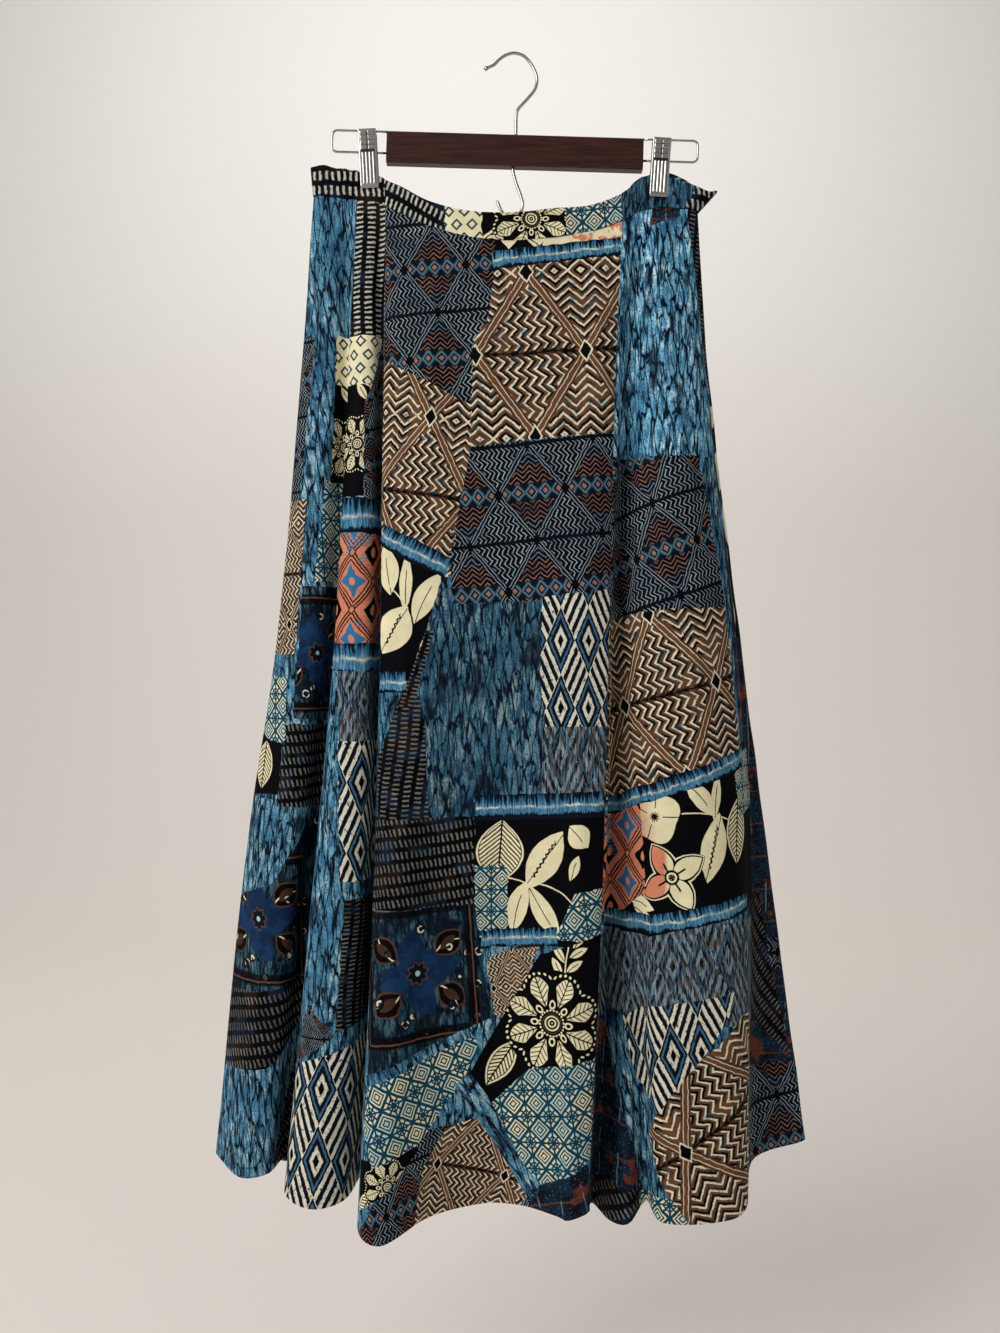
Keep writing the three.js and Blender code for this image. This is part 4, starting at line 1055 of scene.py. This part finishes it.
def medallion(paint):
    """Blue cloth with a dark flower, brown corner leaves, pale curls and a lined border."""
    crackle(paint, 0.32)
    distance, around = polar(paint.x, paint.y)
    paint.ink(INK_NAVY, paint.noise(0.03, 3).above(0.52, 0.08) * 0.85)
    shape = (around * 4 + 0.9).sine() * 8 + (around * 9).sine() * 2.4 + 30
    flower = (shape - distance).above(0, 1.5)
    paint.ink((0.006, 0.022, 0.065), flower * 0.94)
    paint.ink((0.009, 0.038, 0.105), flower * paint.noise(0.07).above(0.52, 0.08) * 0.9)
    for turn in (38, 142, 218, 322):
        along, across = paint.turned(0, 0, turn)
        share = (along - 38) / 15
        leaf = (1 - share * share) * 12 - abs(across)
        paint.ink((0.085, 0.038, 0.022), leaf.above(0, 0.8))
        paint.ink(BLACK, leaf.above(2, 0.8))
        arc = abs(along * 0.35 + (share * share - 1) * 5 + across - 9)
        paint.ink(PALE, arc.below(0.7, 0.3) * leaf.above(2.4, 0.6))
        paint.ink((0.055, 0.026, 0.015), leaf.above(7.4, 0.6))
    small = (around * 8).sine() * 1.4 + 9 - distance
    paint.ink((0.11, 0.05, 0.03), small.above(-0.8, 0.4))
    paint.ink(INK_NAVY, small.above(0.8, 0.4))
    paint.ink(PALE_BLUE, distance.below(2.4, 0.6))
    curl = Field(paint.tree, add_node(paint.tree, "TexVoronoi", {
        "Vector": paint.join(paint.x, paint.y), "Scale": 1 / 17, "Randomness": 0.9}, "Distance"))
    outer = distance.above(34, 2)
    paint.ink(INK_NAVY, curl.below(0.30, 0.03) * outer)
    paint.ink(PALE, curl.near(0.19, 0.035, 0.03) * outer * paint.noise(0.2).above(0.5, 0.04))
    border = (abs(paint.x) / 54).most(abs(paint.y) / 60)
    paint.ink(BLACK, border.near(0.93, 0.09, 0.03) * 0.92)
    paint.ink((0.13, 0.06, 0.035), border.near(0.96, 0.012, 0.01))


def dusk(paint):
    """Near-black cloth with faint blue marks and a few brown lines."""
    paint.ink(NAVY, paint.noise(0.09).above(0.5, 0.2))
    paint.ink((0.05, 0.12, 0.17), paint.noise(0.5, 3).above(0.62, 0.05) * 0.7)
    paint.ink((0.16, 0.038, 0.016), paint.noise(0.05).above(0.62, 0.04) * 0.7)
    paint.ink((0.11, 0.05, 0.03), (paint.y / 31).line(0.05, 0.02) * 0.8)
    thin = (paint.x / 24).line(0.05, 0.02) * paint.noise(0.04).above(0.5, 0.04)
    paint.ink((0.20, 0.26, 0.28), thin * 0.8)


def cream_scraps(paint):
    """Cream cloth with black wedges and a salmon spray."""
    x, y = paint.x, paint.y
    paint.ink(BLACK, ((x / 26 + 0.2).zigzag() * 15 - 7 - y).above(0, 0.5) * x.below(-12, 1))
    paint.ink(BLACK, ((x / 9).zigzag() * 13 - 11 - y).above(0, 0.5) * x.above(34, 1))
    paint.ink(BLACK, abs(x * 0.8 + y + 16).below(0.7, 0.3) * x.below(0, 1))
    paint.ink(SALMON, paint.noise(0.14).above(0.53, 0.06) * x.above(12, 6))


def fray(paint):
    """A ragged join: a broken pale thread, a blue band under it and torn blue spikes above."""
    streak = paint.streaks(0.55, 0.03, 3)
    grain = paint.streaks(1.3, 0.10, 2, 6)
    rise = paint.y - (paint.streaks(0.05, 0, 2, 3) - 0.5) * 7
    above = rise.above(0, 0.6)

    def spikes(start, height, soft):
        return (rise - (streak - start) * height).below(0, soft) * above

    paint.ink(DEEP_BLUE, spikes(0.36, 46, 2.5))
    paint.ink(DENIM, spikes(0.40, 42, 2) * grain.above(0.40, 0.15))
    paint.ink(SKY, spikes(0.46, 38, 2) * grain.above(0.50, 0.10) * 0.8)
    under = (1 - above) * (rise + (streak - 0.5) * 7).above(-6.2, 1.2)
    paint.ink(DENIM, under)
    paint.ink(DEEP_BLUE, under * grain.below(0.46, 0.10) * 0.8)
    paint.ink(SKY, under * grain.above(0.56, 0.10) * 0.7)
    thread = abs(rise + (grain - 0.5) * 2.4)
    paint.ink((0.44, 0.52, 0.50), thread.below(1.3, 1.4) * streak.above(0.46, 0.12) * 0.6)
    paint.ink(CREAM, thread.below(0.6, 0.7) * paint.noise(0.13).above(0.50, 0.08) * 0.8)


MOTIFS = {}
for key, ground, wobble, draw, *values in (
        ("crackle", NAVY, 0.5, crackle, 1),
        ("crackle_deep", NAVY, 0.5, crackle, 0.58),
        # painted light: the same crackle made brighter for the lit part of the right lobe
        ("crackle_pale", NAVY, 0.5, crackle, 1.5),
        ("zigzag_brown", BROWN, 0.6, zigzag_cloth, PALE, (104, 160), 8.9, 16, 25, 3),
        ("zigzag_navy", INK_NAVY, 0.6, zigzag_cloth, (0.37, 0.45, 0.50), (62, 90), 4.6, 9.8, 12.5, 1.7,
         ((0.32, 0.16, 0.11), (0.10, 0.20, 0.28))),
        ("ikat", INK_NAVY, 0.3, ikat, (0.70, 0.665, 0.54), (0.055, 0.14, 0.235), 4, False),
        ("ikat_grey", INK_NAVY, 0.3, ikat, (0.22, 0.29, 0.31), (0.035, 0.10, 0.17), 9, True),
        ("ticks", (0.002, 0.0022, 0.0038), 0.55, ticks, 0.15),
        ("ticks_bold", (0.002, 0.0022, 0.0038), 0.55, ticks, 1),
        ("lattice", CREAM, 0.35, lattice),
        ("cream_diamonds", CREAM, 0.4, cream_diamonds),
        ("leaves_front", BLACK, 0.3, drawing, *LEAVES_FRONT),
        ("leaves_left", BLACK, 0.3, drawing, *LEAVES_LEFT),
        ("leaves_right", BLACK, 0.3, drawing, *LEAVES_RIGHT),
        ("leaf_scrap", BLACK, 0.3, drawing, *(("veins", *leaf) for leaf in SCATTER)),
        ("leaves_scrap", BLACK, 0.3, drawing, *(("rib", *leaf) for leaf in SCATTER)),
        ("rosette", BLACK, 0.25, rosette, 44),
        ("petals", BLACK, 0.25, rosette, 27),
        ("striped_leaf", BLACK, 0.3, drawing, ("veins", 0, -2, 44, 30, 24)),
        ("salmon", SALMON, 0.5, salmon),
        ("medallion", NAVY, 0.5, medallion),
        ("dusk", (0.006, 0.0065, 0.011), 0.5, dusk),
        ("cream_scraps", CREAM, 0.5, cream_scraps),
        ("fray", INK_NAVY, 0.8, fray)):
    cloth_paint = Paint("print_" + key, ground, wobble)
    draw(cloth_paint, *values)
    MOTIFS[key] = cloth_paint.finish()


# ---- cloth pieces --------------------------------------------------------------------------------
CLOTH = 0.8  # mm, thin woven cloth
BAND_CLOTH = 1.7  # mm, the waistband's two layers
BAND_PROUD = 0.4  # mm by which the waistband lies out from its solid's middle
SEAM_ROLL = 3.5  # mm over which an edge turns in to its seam
ANCHORS = {"front": 14, "left": 6 + COUNT, "right": 24, "back": 35}  # fold numbers
WAVER = 0.35  # mm, how far the patches' edges waver
LEAST_FOLD = 8  # mm of cloth to a fold number, at the least
SEED_STEP = 3.7  # keeps the noise of one patch apart from the next


def chart(points, u, name):
    """Length along the cloth at each level, equal to x where the chart is anchored."""
    steps = np.linalg.norm(np.diff(points, axis=0), axis=2)
    length = np.concatenate([np.zeros((1, points.shape[1])), np.cumsum(steps, axis=0)])
    start, x = (np.array([np.interp(ANCHORS[name], u, level) for level in values.T])
                for values in (length, points[..., 0]))
    return length - start + x * (-1 if name == "back" else 1)


def outward(points):
    """Unit normals of a grid of points."""
    normal = np.cross(np.gradient(points, axis=1), np.gradient(points, axis=0))
    return normal / np.linalg.norm(normal, axis=2, keepdims=True)


def sampler(places, shape):
    """A function that reads a grid of values at fractional grid places."""
    i, j = (np.minimum(np.floor(places[:, k]).astype(int), shape[k] - 2) for k in (0, 1))
    s, t = places[:, 0] - i, places[:, 1] - j

    def sample(values):
        a, b = (s[:, None], t[:, None]) if values.ndim == 3 else (s, t)
        return ((1 - a) * (1 - b) * values[i, j] + a * (1 - b) * values[i + 1, j]
                + (1 - a) * b * values[i, j + 1] + a * b * values[i + 1, j + 1])
    return sample


def add_piece(name, mesh, node):
    """Puts a mesh in the scene as a visible piece that stands in for a frame node."""
    piece = bpy.data.objects.new(name, mesh)
    bpy.context.scene.collection.objects.link(piece)
    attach(piece, "root")
    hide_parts(node)
    return piece


def add_vectors(mesh, name, domain, values):
    values = values.astype(np.float32).ravel()
    mesh.attributes.new(name, "FLOAT_VECTOR", domain).data.foreach_set("vector", values)


def cloth_piece(name, node, points, u, charted, creases, seed, thickness, proud, hemmed):
    """A closed thin shell through points [u, v, xyz] in mm, its faces cut along its patches."""
    charts = [key for key, _ in charted]
    lengths = {key: chart(points, u, key) for key in charts}
    first = lengths[charts[0]]
    by_fold = "left" in charts
    height = points[..., 2]
    across = np.repeat(u[:, None], height.shape[1], axis=1) if by_fold else first

    relief = crease_relief(across, height, lengths[charts[-1]], creases) + slack(first, height, seed)
    roll = np.clip(np.minimum(first - first[:1], first[-1:] - first) / SEAM_ROLL, 0, 1)
    relief = relief * roll - 0.5 * (1 - roll) ** 2
    surface = points + outward(points) * (relief + proud)[..., None]

    draw = random.Random(seed)
    waver = sum(np.sin(first * draw.uniform(0.15, 0.5) + height * draw.uniform(0.15, 0.5) + k)
                for k in range(4)) * WAVER
    drift = waver
    if by_fold:
        drift = waver / np.maximum(np.gradient(first, axis=0) / np.gradient(across, axis=0), LEAST_FOLD)
    patches = []
    for key, rows in charted:
        turns = COUNT if key == "left" else 0
        for row in rows:
            outline = [(place + turns, z) for place, z in row["outline"]]
            at = (row["at"][0] + turns, row["at"][1]) if row["at"] else np.mean(outline, axis=0)
            patches.append(dict(row, chart=key, outline=outline, at=at))
    pieces = stitch(lay_patches(across + drift, height + waver, patches))

    keys = {}
    faces = [[keys.setdefault(p, len(keys)) for p in piece] for _, piece in pieces]
    count = len(keys)
    polygons = faces + [[v + count for v in reversed(face)] for face in faces]
    owners = [number for number, _ in pieces] * 2
    borders = ((0, 0), (0, height.shape[0] - 1), (1, 0), (1, height.shape[1] - 1))
    for (number, piece), face in zip(pieces, faces):
        for k, p in enumerate(piece):
            after = (k + 1) % len(piece)
            if any(p[axis] == piece[after][axis] == limit for axis, limit in borders):
                a, b = face[k], face[after]
                polygons.append([b, a, a + count, b + count])
                owners.append(number)

    sample = sampler(np.array(list(keys)), height.shape)
    middle, normal = sample(surface), sample(outward(surface))
    normal /= np.linalg.norm(normal, axis=1, keepdims=True)
    half = normal * (thickness / 2)
    mesh = bpy.data.meshes.new(name)
    mesh.from_pydata((np.concatenate([middle + half, middle - half]) * MM).tolist(), [], polygons)
    mesh.polygons.foreach_set("use_smooth", [True] * len(polygons))
    motifs = sorted({patches[number]["motif"] for number in owners})
    for motif in motifs:
        mesh.materials.append(MOTIFS[motif])
    mesh.polygons.foreach_set("material_index", [motifs.index(patches[number]["motif"]) for number in owners])

    corners = np.array([v % count for polygon in polygons for v in polygon])
    corner_owners = np.repeat(owners, [len(polygon) for polygon in polygons])
    flat = {key: sample(values) for key, values in lengths.items()}
    level = sample(height)
    print_at = np.zeros((len(corners), 3))
    for number, p in enumerate(patches):
        mine = corner_owners == number
        if mine.any():
            start = lengths[p["chart"]][nearest(across, height, p["at"])] if by_fold else p["at"][0]
            dx, dz = flat[p["chart"]][corners[mine]] - start, level[corners[mine]] - p["at"][1]
            c, s = math.cos(math.radians(p["turn"])), math.sin(math.radians(p["turn"]))
            print_at[mine, 0] = (dx * c + dz * s) / p["size"]
            print_at[mine, 1] = (dz * c - dx * s) / p["size"]
            print_at[mine, 2] = number * SEED_STEP
    add_vectors(mesh, "print_at", "CORNER", print_at)
    hem = np.repeat(height[:, -1:], height.shape[1], axis=1) if hemmed else np.full_like(height, -NO_HEM)
    cloth_at = np.stack([flat[charts[0]], level, level - sample(hem)], axis=1)
    add_vectors(mesh, "cloth_at", "POINT", np.concatenate([cloth_at, cloth_at]))
    mesh.normals_split_custom_set_from_vertices(np.concatenate([normal, -normal]).tolist())
    mesh.validate()
    return add_piece(name, mesh, node)


def with_gathers(points, u, v):
    """Points moved out by the gathers, level and square to the cloth."""
    along = np.gradient(points, axis=0)
    out = np.stack([along[..., 1], -along[..., 0], np.zeros_like(along[..., 0])], axis=-1)
    out /= np.linalg.norm(out, axis=2, keepdims=True)
    return points + out * gather(u, v)[..., None]


NO_HEM = 1000.0  # mm, keeps the hem's stitching off the waistband
PANEL_ROWS, BAND_ROWS = 150, 14
panel_v, band_v = np.linspace(0, 1, PANEL_ROWS + 1), np.linspace(0, 1, BAND_ROWS + 1)
front_u, back_u = even_columns(FRONT_SPAN, 120), even_columns(BACK_SPAN, 250)
front = cloth_piece(
    "skirt_front", "skirt_front_panel", panel_surface(front_u, panel_v), front_u,
    [("front", FRONT_PATCHES)], FRONT_CREASES, 11, CLOTH, 0, True)
back = cloth_piece(
    "skirt_back", "skirt_back_panel",
    with_gathers(panel_surface(back_u, panel_v), back_u, panel_v), back_u,
    [("left", LEFT_PATCHES), ("right", RIGHT_PATCHES), ("back", BACK_PATCHES)], BACK_CREASES, 12,
    CLOTH, 0, True)
front_u, back_u = even_columns(FRONT_SPAN, 90), even_columns(BACK_SPAN, 420)
band_front = cloth_piece(
    "waistband_smooth", "waistband_front", band_surface(front_u, band_v), front_u,
    [("front", BAND_FRONT_PATCHES)], [], 13, BAND_CLOTH, BAND_PROUD, False)
band_back = cloth_piece(
    "waistband_elastic", "waistband_back",
    with_gathers(band_surface(back_u, band_v), back_u, np.zeros(BAND_ROWS + 1)), back_u,
    [("left", BAND_LEFT_PATCHES), ("right", BAND_BACK_PATCHES)], [], 14, BAND_CLOTH, BAND_PROUD, False)


# ---- the hanger's materials ----------------------------------------------------------------------
def coordinates(tree, scale=(1, 1, 1)):
    where = add_node(tree, "TexCoord", {}, "Object")
    return add_node(tree, "Mapping", {"Vector": where, "Scale": scale})


def ramp(tree, factor, stops):
    node = tree.nodes.new("ShaderNodeValToRGB")
    for k, (position, colour) in enumerate(stops):
        element = node.color_ramp.elements[k] if k < 2 else node.color_ramp.elements.new(position)
        element.position = position
        element.color = (*colour, 1)
    set_inputs(tree, node, {0: factor})
    return node.outputs[0]


def wood_material():
    material, tree, shader = plain_material("stained_wood", (0.05, 0.012, 0.008), 0.34)
    grain = noise_texture(tree, coordinates(tree, (6, 60, 90)), 7, 6)
    colour = ramp(tree, grain, [(0.3, (0.016, 0.005, 0.004)), (0.55, (0.044, 0.012, 0.008)),
                                (0.75, (0.062, 0.018, 0.011))])
    set_inputs(tree, shader, {"Base Color": colour, "Specular IOR Level": 0.3, "Coat Weight": 0.12,
                              "Coat Roughness": 0.25})
    add_bump(tree, shader, grain, 0.12, 0.0004)
    return material


def steel_material(name, colour, roughness, shade_hollows=False):
    """Plated steel, smudged all over, or with painted shade in its pressed hollows."""
    material, tree, shader = plain_material(name, colour, roughness, 1)
    smudge = noise_texture(tree, coordinates(tree), 90, 5)
    if shade_hollows:
        # painted shade: the relief paints the pressed hollows dark and the raised parts light
        relief = add_node(tree, "Attribute", {}, "Fac", attribute_name="relief")
        shade = ramp(tree, relief, [(0.12, (0.07, 0.066, 0.064)), (0.42, (0.50, 0.48, 0.46))])
    else:
        shade = ramp(tree, smudge, [(0.35, tuple(c * 0.8 for c in colour)), (0.65, colour)])
    set_inputs(tree, shader, {"Base Color": shade})
    add_bump(tree, shader, smudge, 0.02, 0.0001)
    return material


WOOD = wood_material()
WIRE = steel_material("plated_wire", (0.50, 0.495, 0.49), 0.20)
CLIP_STEEL = steel_material("pressed_steel", (0.62, 0.60, 0.575), 0.31, shade_hollows=True)

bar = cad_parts["hanger_bar"].data
bar.materials.clear()
bar.materials.append(WOOD)


# ---- the hanger's pieces, in millimetres ----------------------------------------------------------
TILT = Matrix.Rotation(math.radians(1.7), 4, "Y")  # the bar, loops and clips hang a little aslant


def closed_mesh(name, vertices, faces, material, node, matrix=None):
    """A piece in millimetres that stands in for a frame node."""
    mesh = bpy.data.meshes.new(name)
    mesh.from_pydata([tuple(p * MM for p in v) for v in vertices], [], faces)
    if matrix is not None:
        mesh.transform(matrix)
    mesh.polygons.foreach_set("use_smooth", [True] * len(mesh.polygons))
    mesh.materials.append(material)
    mesh.validate()
    return add_piece(name, mesh, node)


def between(values, starts, ends, t):
    """One level of a curve's pyramid: each two neighbours mixed for the time t."""
    return [a + (b - a) * ((t - start) / (end - start))
            for a, b, start, end in zip(values, values[1:], starts, ends)]


def smooth_line(points, steps):
    """Centripetal curve through points, with steps stations between each two."""
    p = [np.array(q, float) for q in points]
    p = [2 * p[0] - p[1]] + p + [2 * p[-1] - p[-2]]
    line = []
    for four in zip(p, p[1:], p[2:], p[3:]):
        knots = np.cumsum([0] + [max(np.linalg.norm(b - a), 1e-6) ** 0.5 for a, b in zip(four, four[1:])])
        for t in np.linspace(knots[1], knots[2], steps, endpoint=False):
            wide = between(between(four, knots, knots[1:], t), knots, knots[2:], t)
            line += between(wide, knots[1:], knots[2:], t)
    return line + [p[-2]]


def tube(name, line, radii, node, matrix=None, sides=16):
    """Round wire along a line, with a radius for each of its stations."""
    line = [Vector(p) for p in line]
    vertices, faces = [], []
    ahead = (line[1] - line[0]).normalized()
    normal = ahead.orthogonal().normalized()
    for i, (p, radius) in enumerate(zip(line, radii)):
        turn_to = (line[min(i + 1, len(line) - 1)] - line[max(i - 1, 0)]).normalized()
        normal.rotate(ahead.rotation_difference(turn_to))
        ahead = turn_to
        side = ahead.cross(normal)
        vertices += [tuple(p + normal * (radius * math.cos(a)) + side * (radius * math.sin(a)))
                     for a in np.linspace(0, FULL_TURN, sides, endpoint=False)]
    for i in range(len(line) - 1):
        for s in range(sides):
            a, b = i * sides + s, i * sides + (s + 1) % sides
            faces.append((a, b, b + sides, a + sides))
    faces.append(tuple(reversed(range(sides))))
    faces.append(tuple(range(len(vertices) - sides, len(vertices))))
    closed_mesh(name, vertices, faces, WIRE, node, matrix)


HOOK_WIRE = 1.5  # radii of the wires, and of the hook's ball end
LOOP_WIRE = 1.1
COIL_WIRE = 0.6
BALL = 2.3

hook_line = smooth_line([
    (2.6, 0, -78.4), (3.1, 0, -57.1), (4.4, 0, -52.8), (13.2, 0, -42.8), (20.9, 0, -32.9), (22.6, 0, -21.9),
    (17, 0, -8.8), (9.3, 0, -0.8), (0, 0, 1.5), (-8, 0, -0.9), (-13.2, 0, -4.4), (-18.7, 0, -9.8),
    (-24, 0, -12.2)], 8)
hook_radii = [HOOK_WIRE] * len(hook_line)
tip, before = hook_line[-1], hook_line[-2]
ahead = (tip - before) / np.linalg.norm(tip - before)
for angle in np.radians(np.linspace(-50, 88, 10)):
    hook_line.append(tip + ahead * (BALL * (1 + math.sin(angle))))
    hook_radii.append(max(BALL * math.cos(angle), 0.1))
tube("hook_wire", hook_line, hook_radii, "hanger_hook")

lower_line = smooth_line([
    (-0.6, 0, -109.2), (-0.1, 0, -112.8), (2.8, 0, -123.4), (7.2, 0, -135.6), (9, 0, -143), (7.4, 0, -150.5),
    (-1.2, 0, -157), (-9.6, 0, -152.4), (-15.8, 0, -140.4)], 9)
tube("lower_hook_wire", lower_line, [HOOK_WIRE] * (len(lower_line) - 1) + [LOOP_WIRE], "hanger_lower_hook")

BAR_END = 123.1  # from the bar's middle to where a loop starts
BAR_MIDDLE = 4.2
LOOP_REACH, LOOP_TOP, LOOP_LOW, CORNER = 52.5, -77.6, -98.2, 5

for side, sign in (("left", -1), ("right", 1)):
    root = BAR_MIDDLE + sign * BAR_END
    near = root + sign * (LOOP_REACH - CORNER)
    corner = [(CORNER * math.sin(a), CORNER * math.cos(a)) for a in np.linspace(0, math.pi / 2, 10)]
    line = [(root + (near - root) * k / 6, 0, LOOP_TOP) for k in range(6)]
    line += [(near + sign * out, 0, LOOP_TOP - CORNER + up) for out, up in corner]
    line += [(near + sign * out, 0, LOOP_LOW + CORNER - up) for up, out in corner]
    line += [(near + (root - near) * k / 6, 0, LOOP_LOW) for k in range(1, 7)]
    tube(f"loop_wire_{side}", line, [LOOP_WIRE] * len(line), f"hanger_wire_{side}", matrix=TILT)

PLATE_HALF_WIDTH = 8.75
PLATE_TOP, PLATE_FOOT = 20.5, -36
PLATE = 1.0  # thickness of the steel
PLATE_PROFILE = [(-36, 4.9), (-33.5, 3.3), (-24, 3.3), (-5, 3.3), (8, 3.3), (20.5, 5.4)]  # height, half gap
FLAT_SHADE = 0.9  # relief given to the painted hollow shade where the plate has no pattern
BAR_PITCH, RIB_PITCH = 4.5, 3.3


def smooth_step(value, start, end):
    t = np.clip((value - start) / (end - start), 0, 1)
    return t * t * (3 - 2 * t)


def pressed_relief(x, z):
    """Height of the pressed pattern: two columns of four bars above four long ribs."""
    bars = np.abs(np.sin((z - 1.2) * math.pi / BAR_PITCH)) ** 0.7 * 0.8
    in_bars = smooth_step(z, 0.6, 1.6) * (1 - smooth_step(z, 17.6, 18.4))
    columns = smooth_step(np.abs(x), 0.4, 1.0) * (1 - smooth_step(np.abs(x), 6.3, 7.0))
    ribs = (0.5 + 0.5 * np.cos(x * FULL_TURN / RIB_PITCH + math.pi)) * 0.9
    in_ribs = (smooth_step(z, -32, -30.6) * (1 - smooth_step(z, -1.6, -0.4))
               * (1 - smooth_step(np.abs(x), 6.2, 7.0)))
    return bars * in_bars * columns + ribs * in_ribs


def clip_plate(name, node, sign, matrix):
    """One pressed plate of a clip, its long edges folded in."""
    across = np.concatenate([[-1.0, -0.985, -0.95], np.linspace(-0.9, 0.9, 61), [0.95, 0.985, 1.0]])
    down = np.concatenate([np.linspace(PLATE_TOP, 19, 4)[:-1], np.linspace(19, -34, 130),
                           np.linspace(-34, PLATE_FOOT, 5)[1:]])
    x, z = np.meshgrid(across * PLATE_HALF_WIDTH, down, indexing="ij")
    gap = np.interp(z, *zip(*PLATE_PROFILE))
    fold = np.maximum(0, np.abs(x) - (PLATE_HALF_WIDTH - 0.9)) ** 2 * 0.9
    relief = pressed_relief(x, z)
    rounding = np.maximum(0, 0.6 - np.minimum(z - PLATE_FOOT, PLATE_TOP - z)) * 0.5
    outer = gap + PLATE + 0.8 * relief - 0.25 - fold * 0.7 - rounding
    inner = np.minimum(gap + 0.05, outer - 0.25)
    count, columns, rows = x.size, len(across), len(down)
    vertices = [(a, sign * b, c) for y in (outer, inner) for a, b, c in zip(x.ravel(), y.ravel(), z.ravel())]
    faces = []
    for i in range(columns - 1):
        for j in range(rows - 1):
            a, b = i * rows + j, (i + 1) * rows + j
            faces += [(a, a + 1, b + 1, b), tuple(count + k for k in (b, b + 1, a + 1, a))]
    rim = ([i * rows for i in range(columns)] + [(columns - 1) * rows + j for j in range(1, rows)]
           + [i * rows + rows - 1 for i in range(columns - 2, -1, -1)] + list(range(rows - 2, 0, -1)))
    faces += [(a, b, b + count, a + count) for a, b in zip(rim, rim[1:] + rim[:1])]
    if sign > 0:
        faces = [tuple(reversed(face)) for face in faces]
    piece = closed_mesh(name, vertices, faces, CLIP_STEEL, node, matrix)
    # the relief drives the painted shade in the pressed hollows; unpatterned parts get FLAT_SHADE, the inner
    # side 1
    in_pattern = (np.abs(x) < 6.6) & (z > -31.5) & (z < 18)
    shown = np.concatenate([np.where(in_pattern, relief, FLAT_SHADE).ravel(), np.ones(count)])
    piece.data.attributes.new("relief", "FLOAT", "POINT").data.foreach_set("value", shown)


COIL_STATIONS = 73
for side, x, lean in (("left", -136.4, -4.6), ("right", 144.2, 2.1)):
    pivot = TILT @ Matrix.Translation(Vector((x, 0, LOOP_LOW)) * MM)
    upright = pivot @ Matrix.Rotation(math.radians(lean), 4, "Y")
    clip_plate(f"clip_plate_{side}_front", f"clip_{side}_front", -1, upright)
    clip_plate(f"clip_plate_{side}_back", f"clip_{side}_back", 1, upright)
    coil = [((k / (COIL_STATIONS - 1) - 0.5) * 9.6, 2.25 * math.cos(k * 0.6), 2.25 * math.sin(k * 0.6))
            for k in range(COIL_STATIONS)]
    tube(f"clip_coil_{side}", coil, [COIL_WIRE] * COIL_STATIONS, f"clip_{side}_spring",
         pivot, sides=8)


# ---- stage, light and camera, in metres -----------------------------------------------------------
CAMERA_DISTANCE = 1.05  # from the hanger's plane
FRAME_HEIGHT = 1.28  # of that plane in the picture's height
SENSOR = 36
FLOOR = -1.36
SKIRT_MIDDLE = (0, 0, -0.6)


def studio_sweep():
    """A pale floor that curves up far behind into a wall."""
    material, tree, shader = plain_material("pale_studio", (0.86, 0.83, 0.79), 0.95)
    tone = Field(tree, noise_texture(tree, coordinates(tree), 60, 3))
    height = parts_of(tree, coordinates(tree))[2]
    # painted shade: the sweep is painted darker towards the floor and lighter as it rises
    rising = (height - FLOOR) / 3.2 + (tone - 0.5) * 0.04
    colour = ramp(tree, rising, [(0.0, (0.80, 0.745, 0.70)), (0.7, (0.87, 0.845, 0.815))])
    set_inputs(tree, shader, {"Base Color": colour})
    radius, wall_y, near_y, top, half = 1.4, 3.4, -5.0, 4.0, 6.0
    profile = [(near_y, FLOOR)]
    profile += [(wall_y - radius + radius * math.sin(a), FLOOR + radius * (1 - math.cos(a)))
                for a in np.linspace(0, math.pi / 2, 17)]
    profile.append((wall_y, top))
    vertices = [(x, y, z) for y, z in profile for x in (-half, half)]
    faces = [(2 * k, 2 * k + 1, 2 * k + 3, 2 * k + 2) for k in range(len(profile) - 1)]
    mesh = bpy.data.meshes.new("studio")
    mesh.from_pydata(vertices, [], faces)
    mesh.polygons.foreach_set("use_smooth", [True] * len(faces))
    mesh.materials.append(material)
    floor = bpy.data.objects.new("studio", mesh)
    bpy.context.scene.collection.objects.link(floor)


def area_light(name, place, target, size, power, colour):
    data = bpy.data.lights.new(name, "AREA")
    data.shape = "RECTANGLE"
    data.size, data.size_y = size
    data.energy = power
    data.color = colour
    light = bpy.data.objects.new(name, data)
    light.location = place
    light.rotation_euler = (Vector(target) - Vector(place)).to_track_quat("-Z", "Y").to_euler()
    bpy.context.scene.collection.objects.link(light)


studio_sweep()
area_light("key", (-1.7, -1.6, 0.6), SKIRT_MIDDLE, (1.2, 1.6), 44, (1.0, 0.985, 0.965))
area_light("fill", (1.9, -1.9, 0.1), SKIRT_MIDDLE, (1.6, 2.0), 6, (0.96, 0.98, 1.0))
area_light("wall_wash", (-0.1, 0.9, 2.3), (0.1, 3.4, 0.9), (3.0, 1.4), 56, (1, 0.993, 0.97))

world = bpy.data.worlds.new("studio_air")
world.use_nodes = True
air = world.node_tree
toward = parts_of(air, add_node(air, "TexCoord", {}, "Generated"))
glow = toward[1] * 0.20 + toward[2] * 0.16 + toward[0] * -0.10 + 0.34  # brighter behind and above
set_inputs(air, air.nodes["Background"], {0: (1.0, 0.985, 0.965), 1: glow})
bpy.context.scene.world = world
bpy.context.scene.view_settings.view_transform = "Standard"

camera_data = bpy.data.cameras.new("camera")
camera_data.sensor_width = SENSOR
camera_data.sensor_fit = "AUTO"
camera_data.lens = SENSOR * CAMERA_DISTANCE / FRAME_HEIGHT
camera = bpy.data.objects.new("camera", camera_data)
camera.location = (-0.0128, -CAMERA_DISTANCE, -0.5875)
camera.rotation_euler = (math.pi / 2, 0, 0)
bpy.context.scene.collection.objects.link(camera)
bpy.context.scene.camera = camera
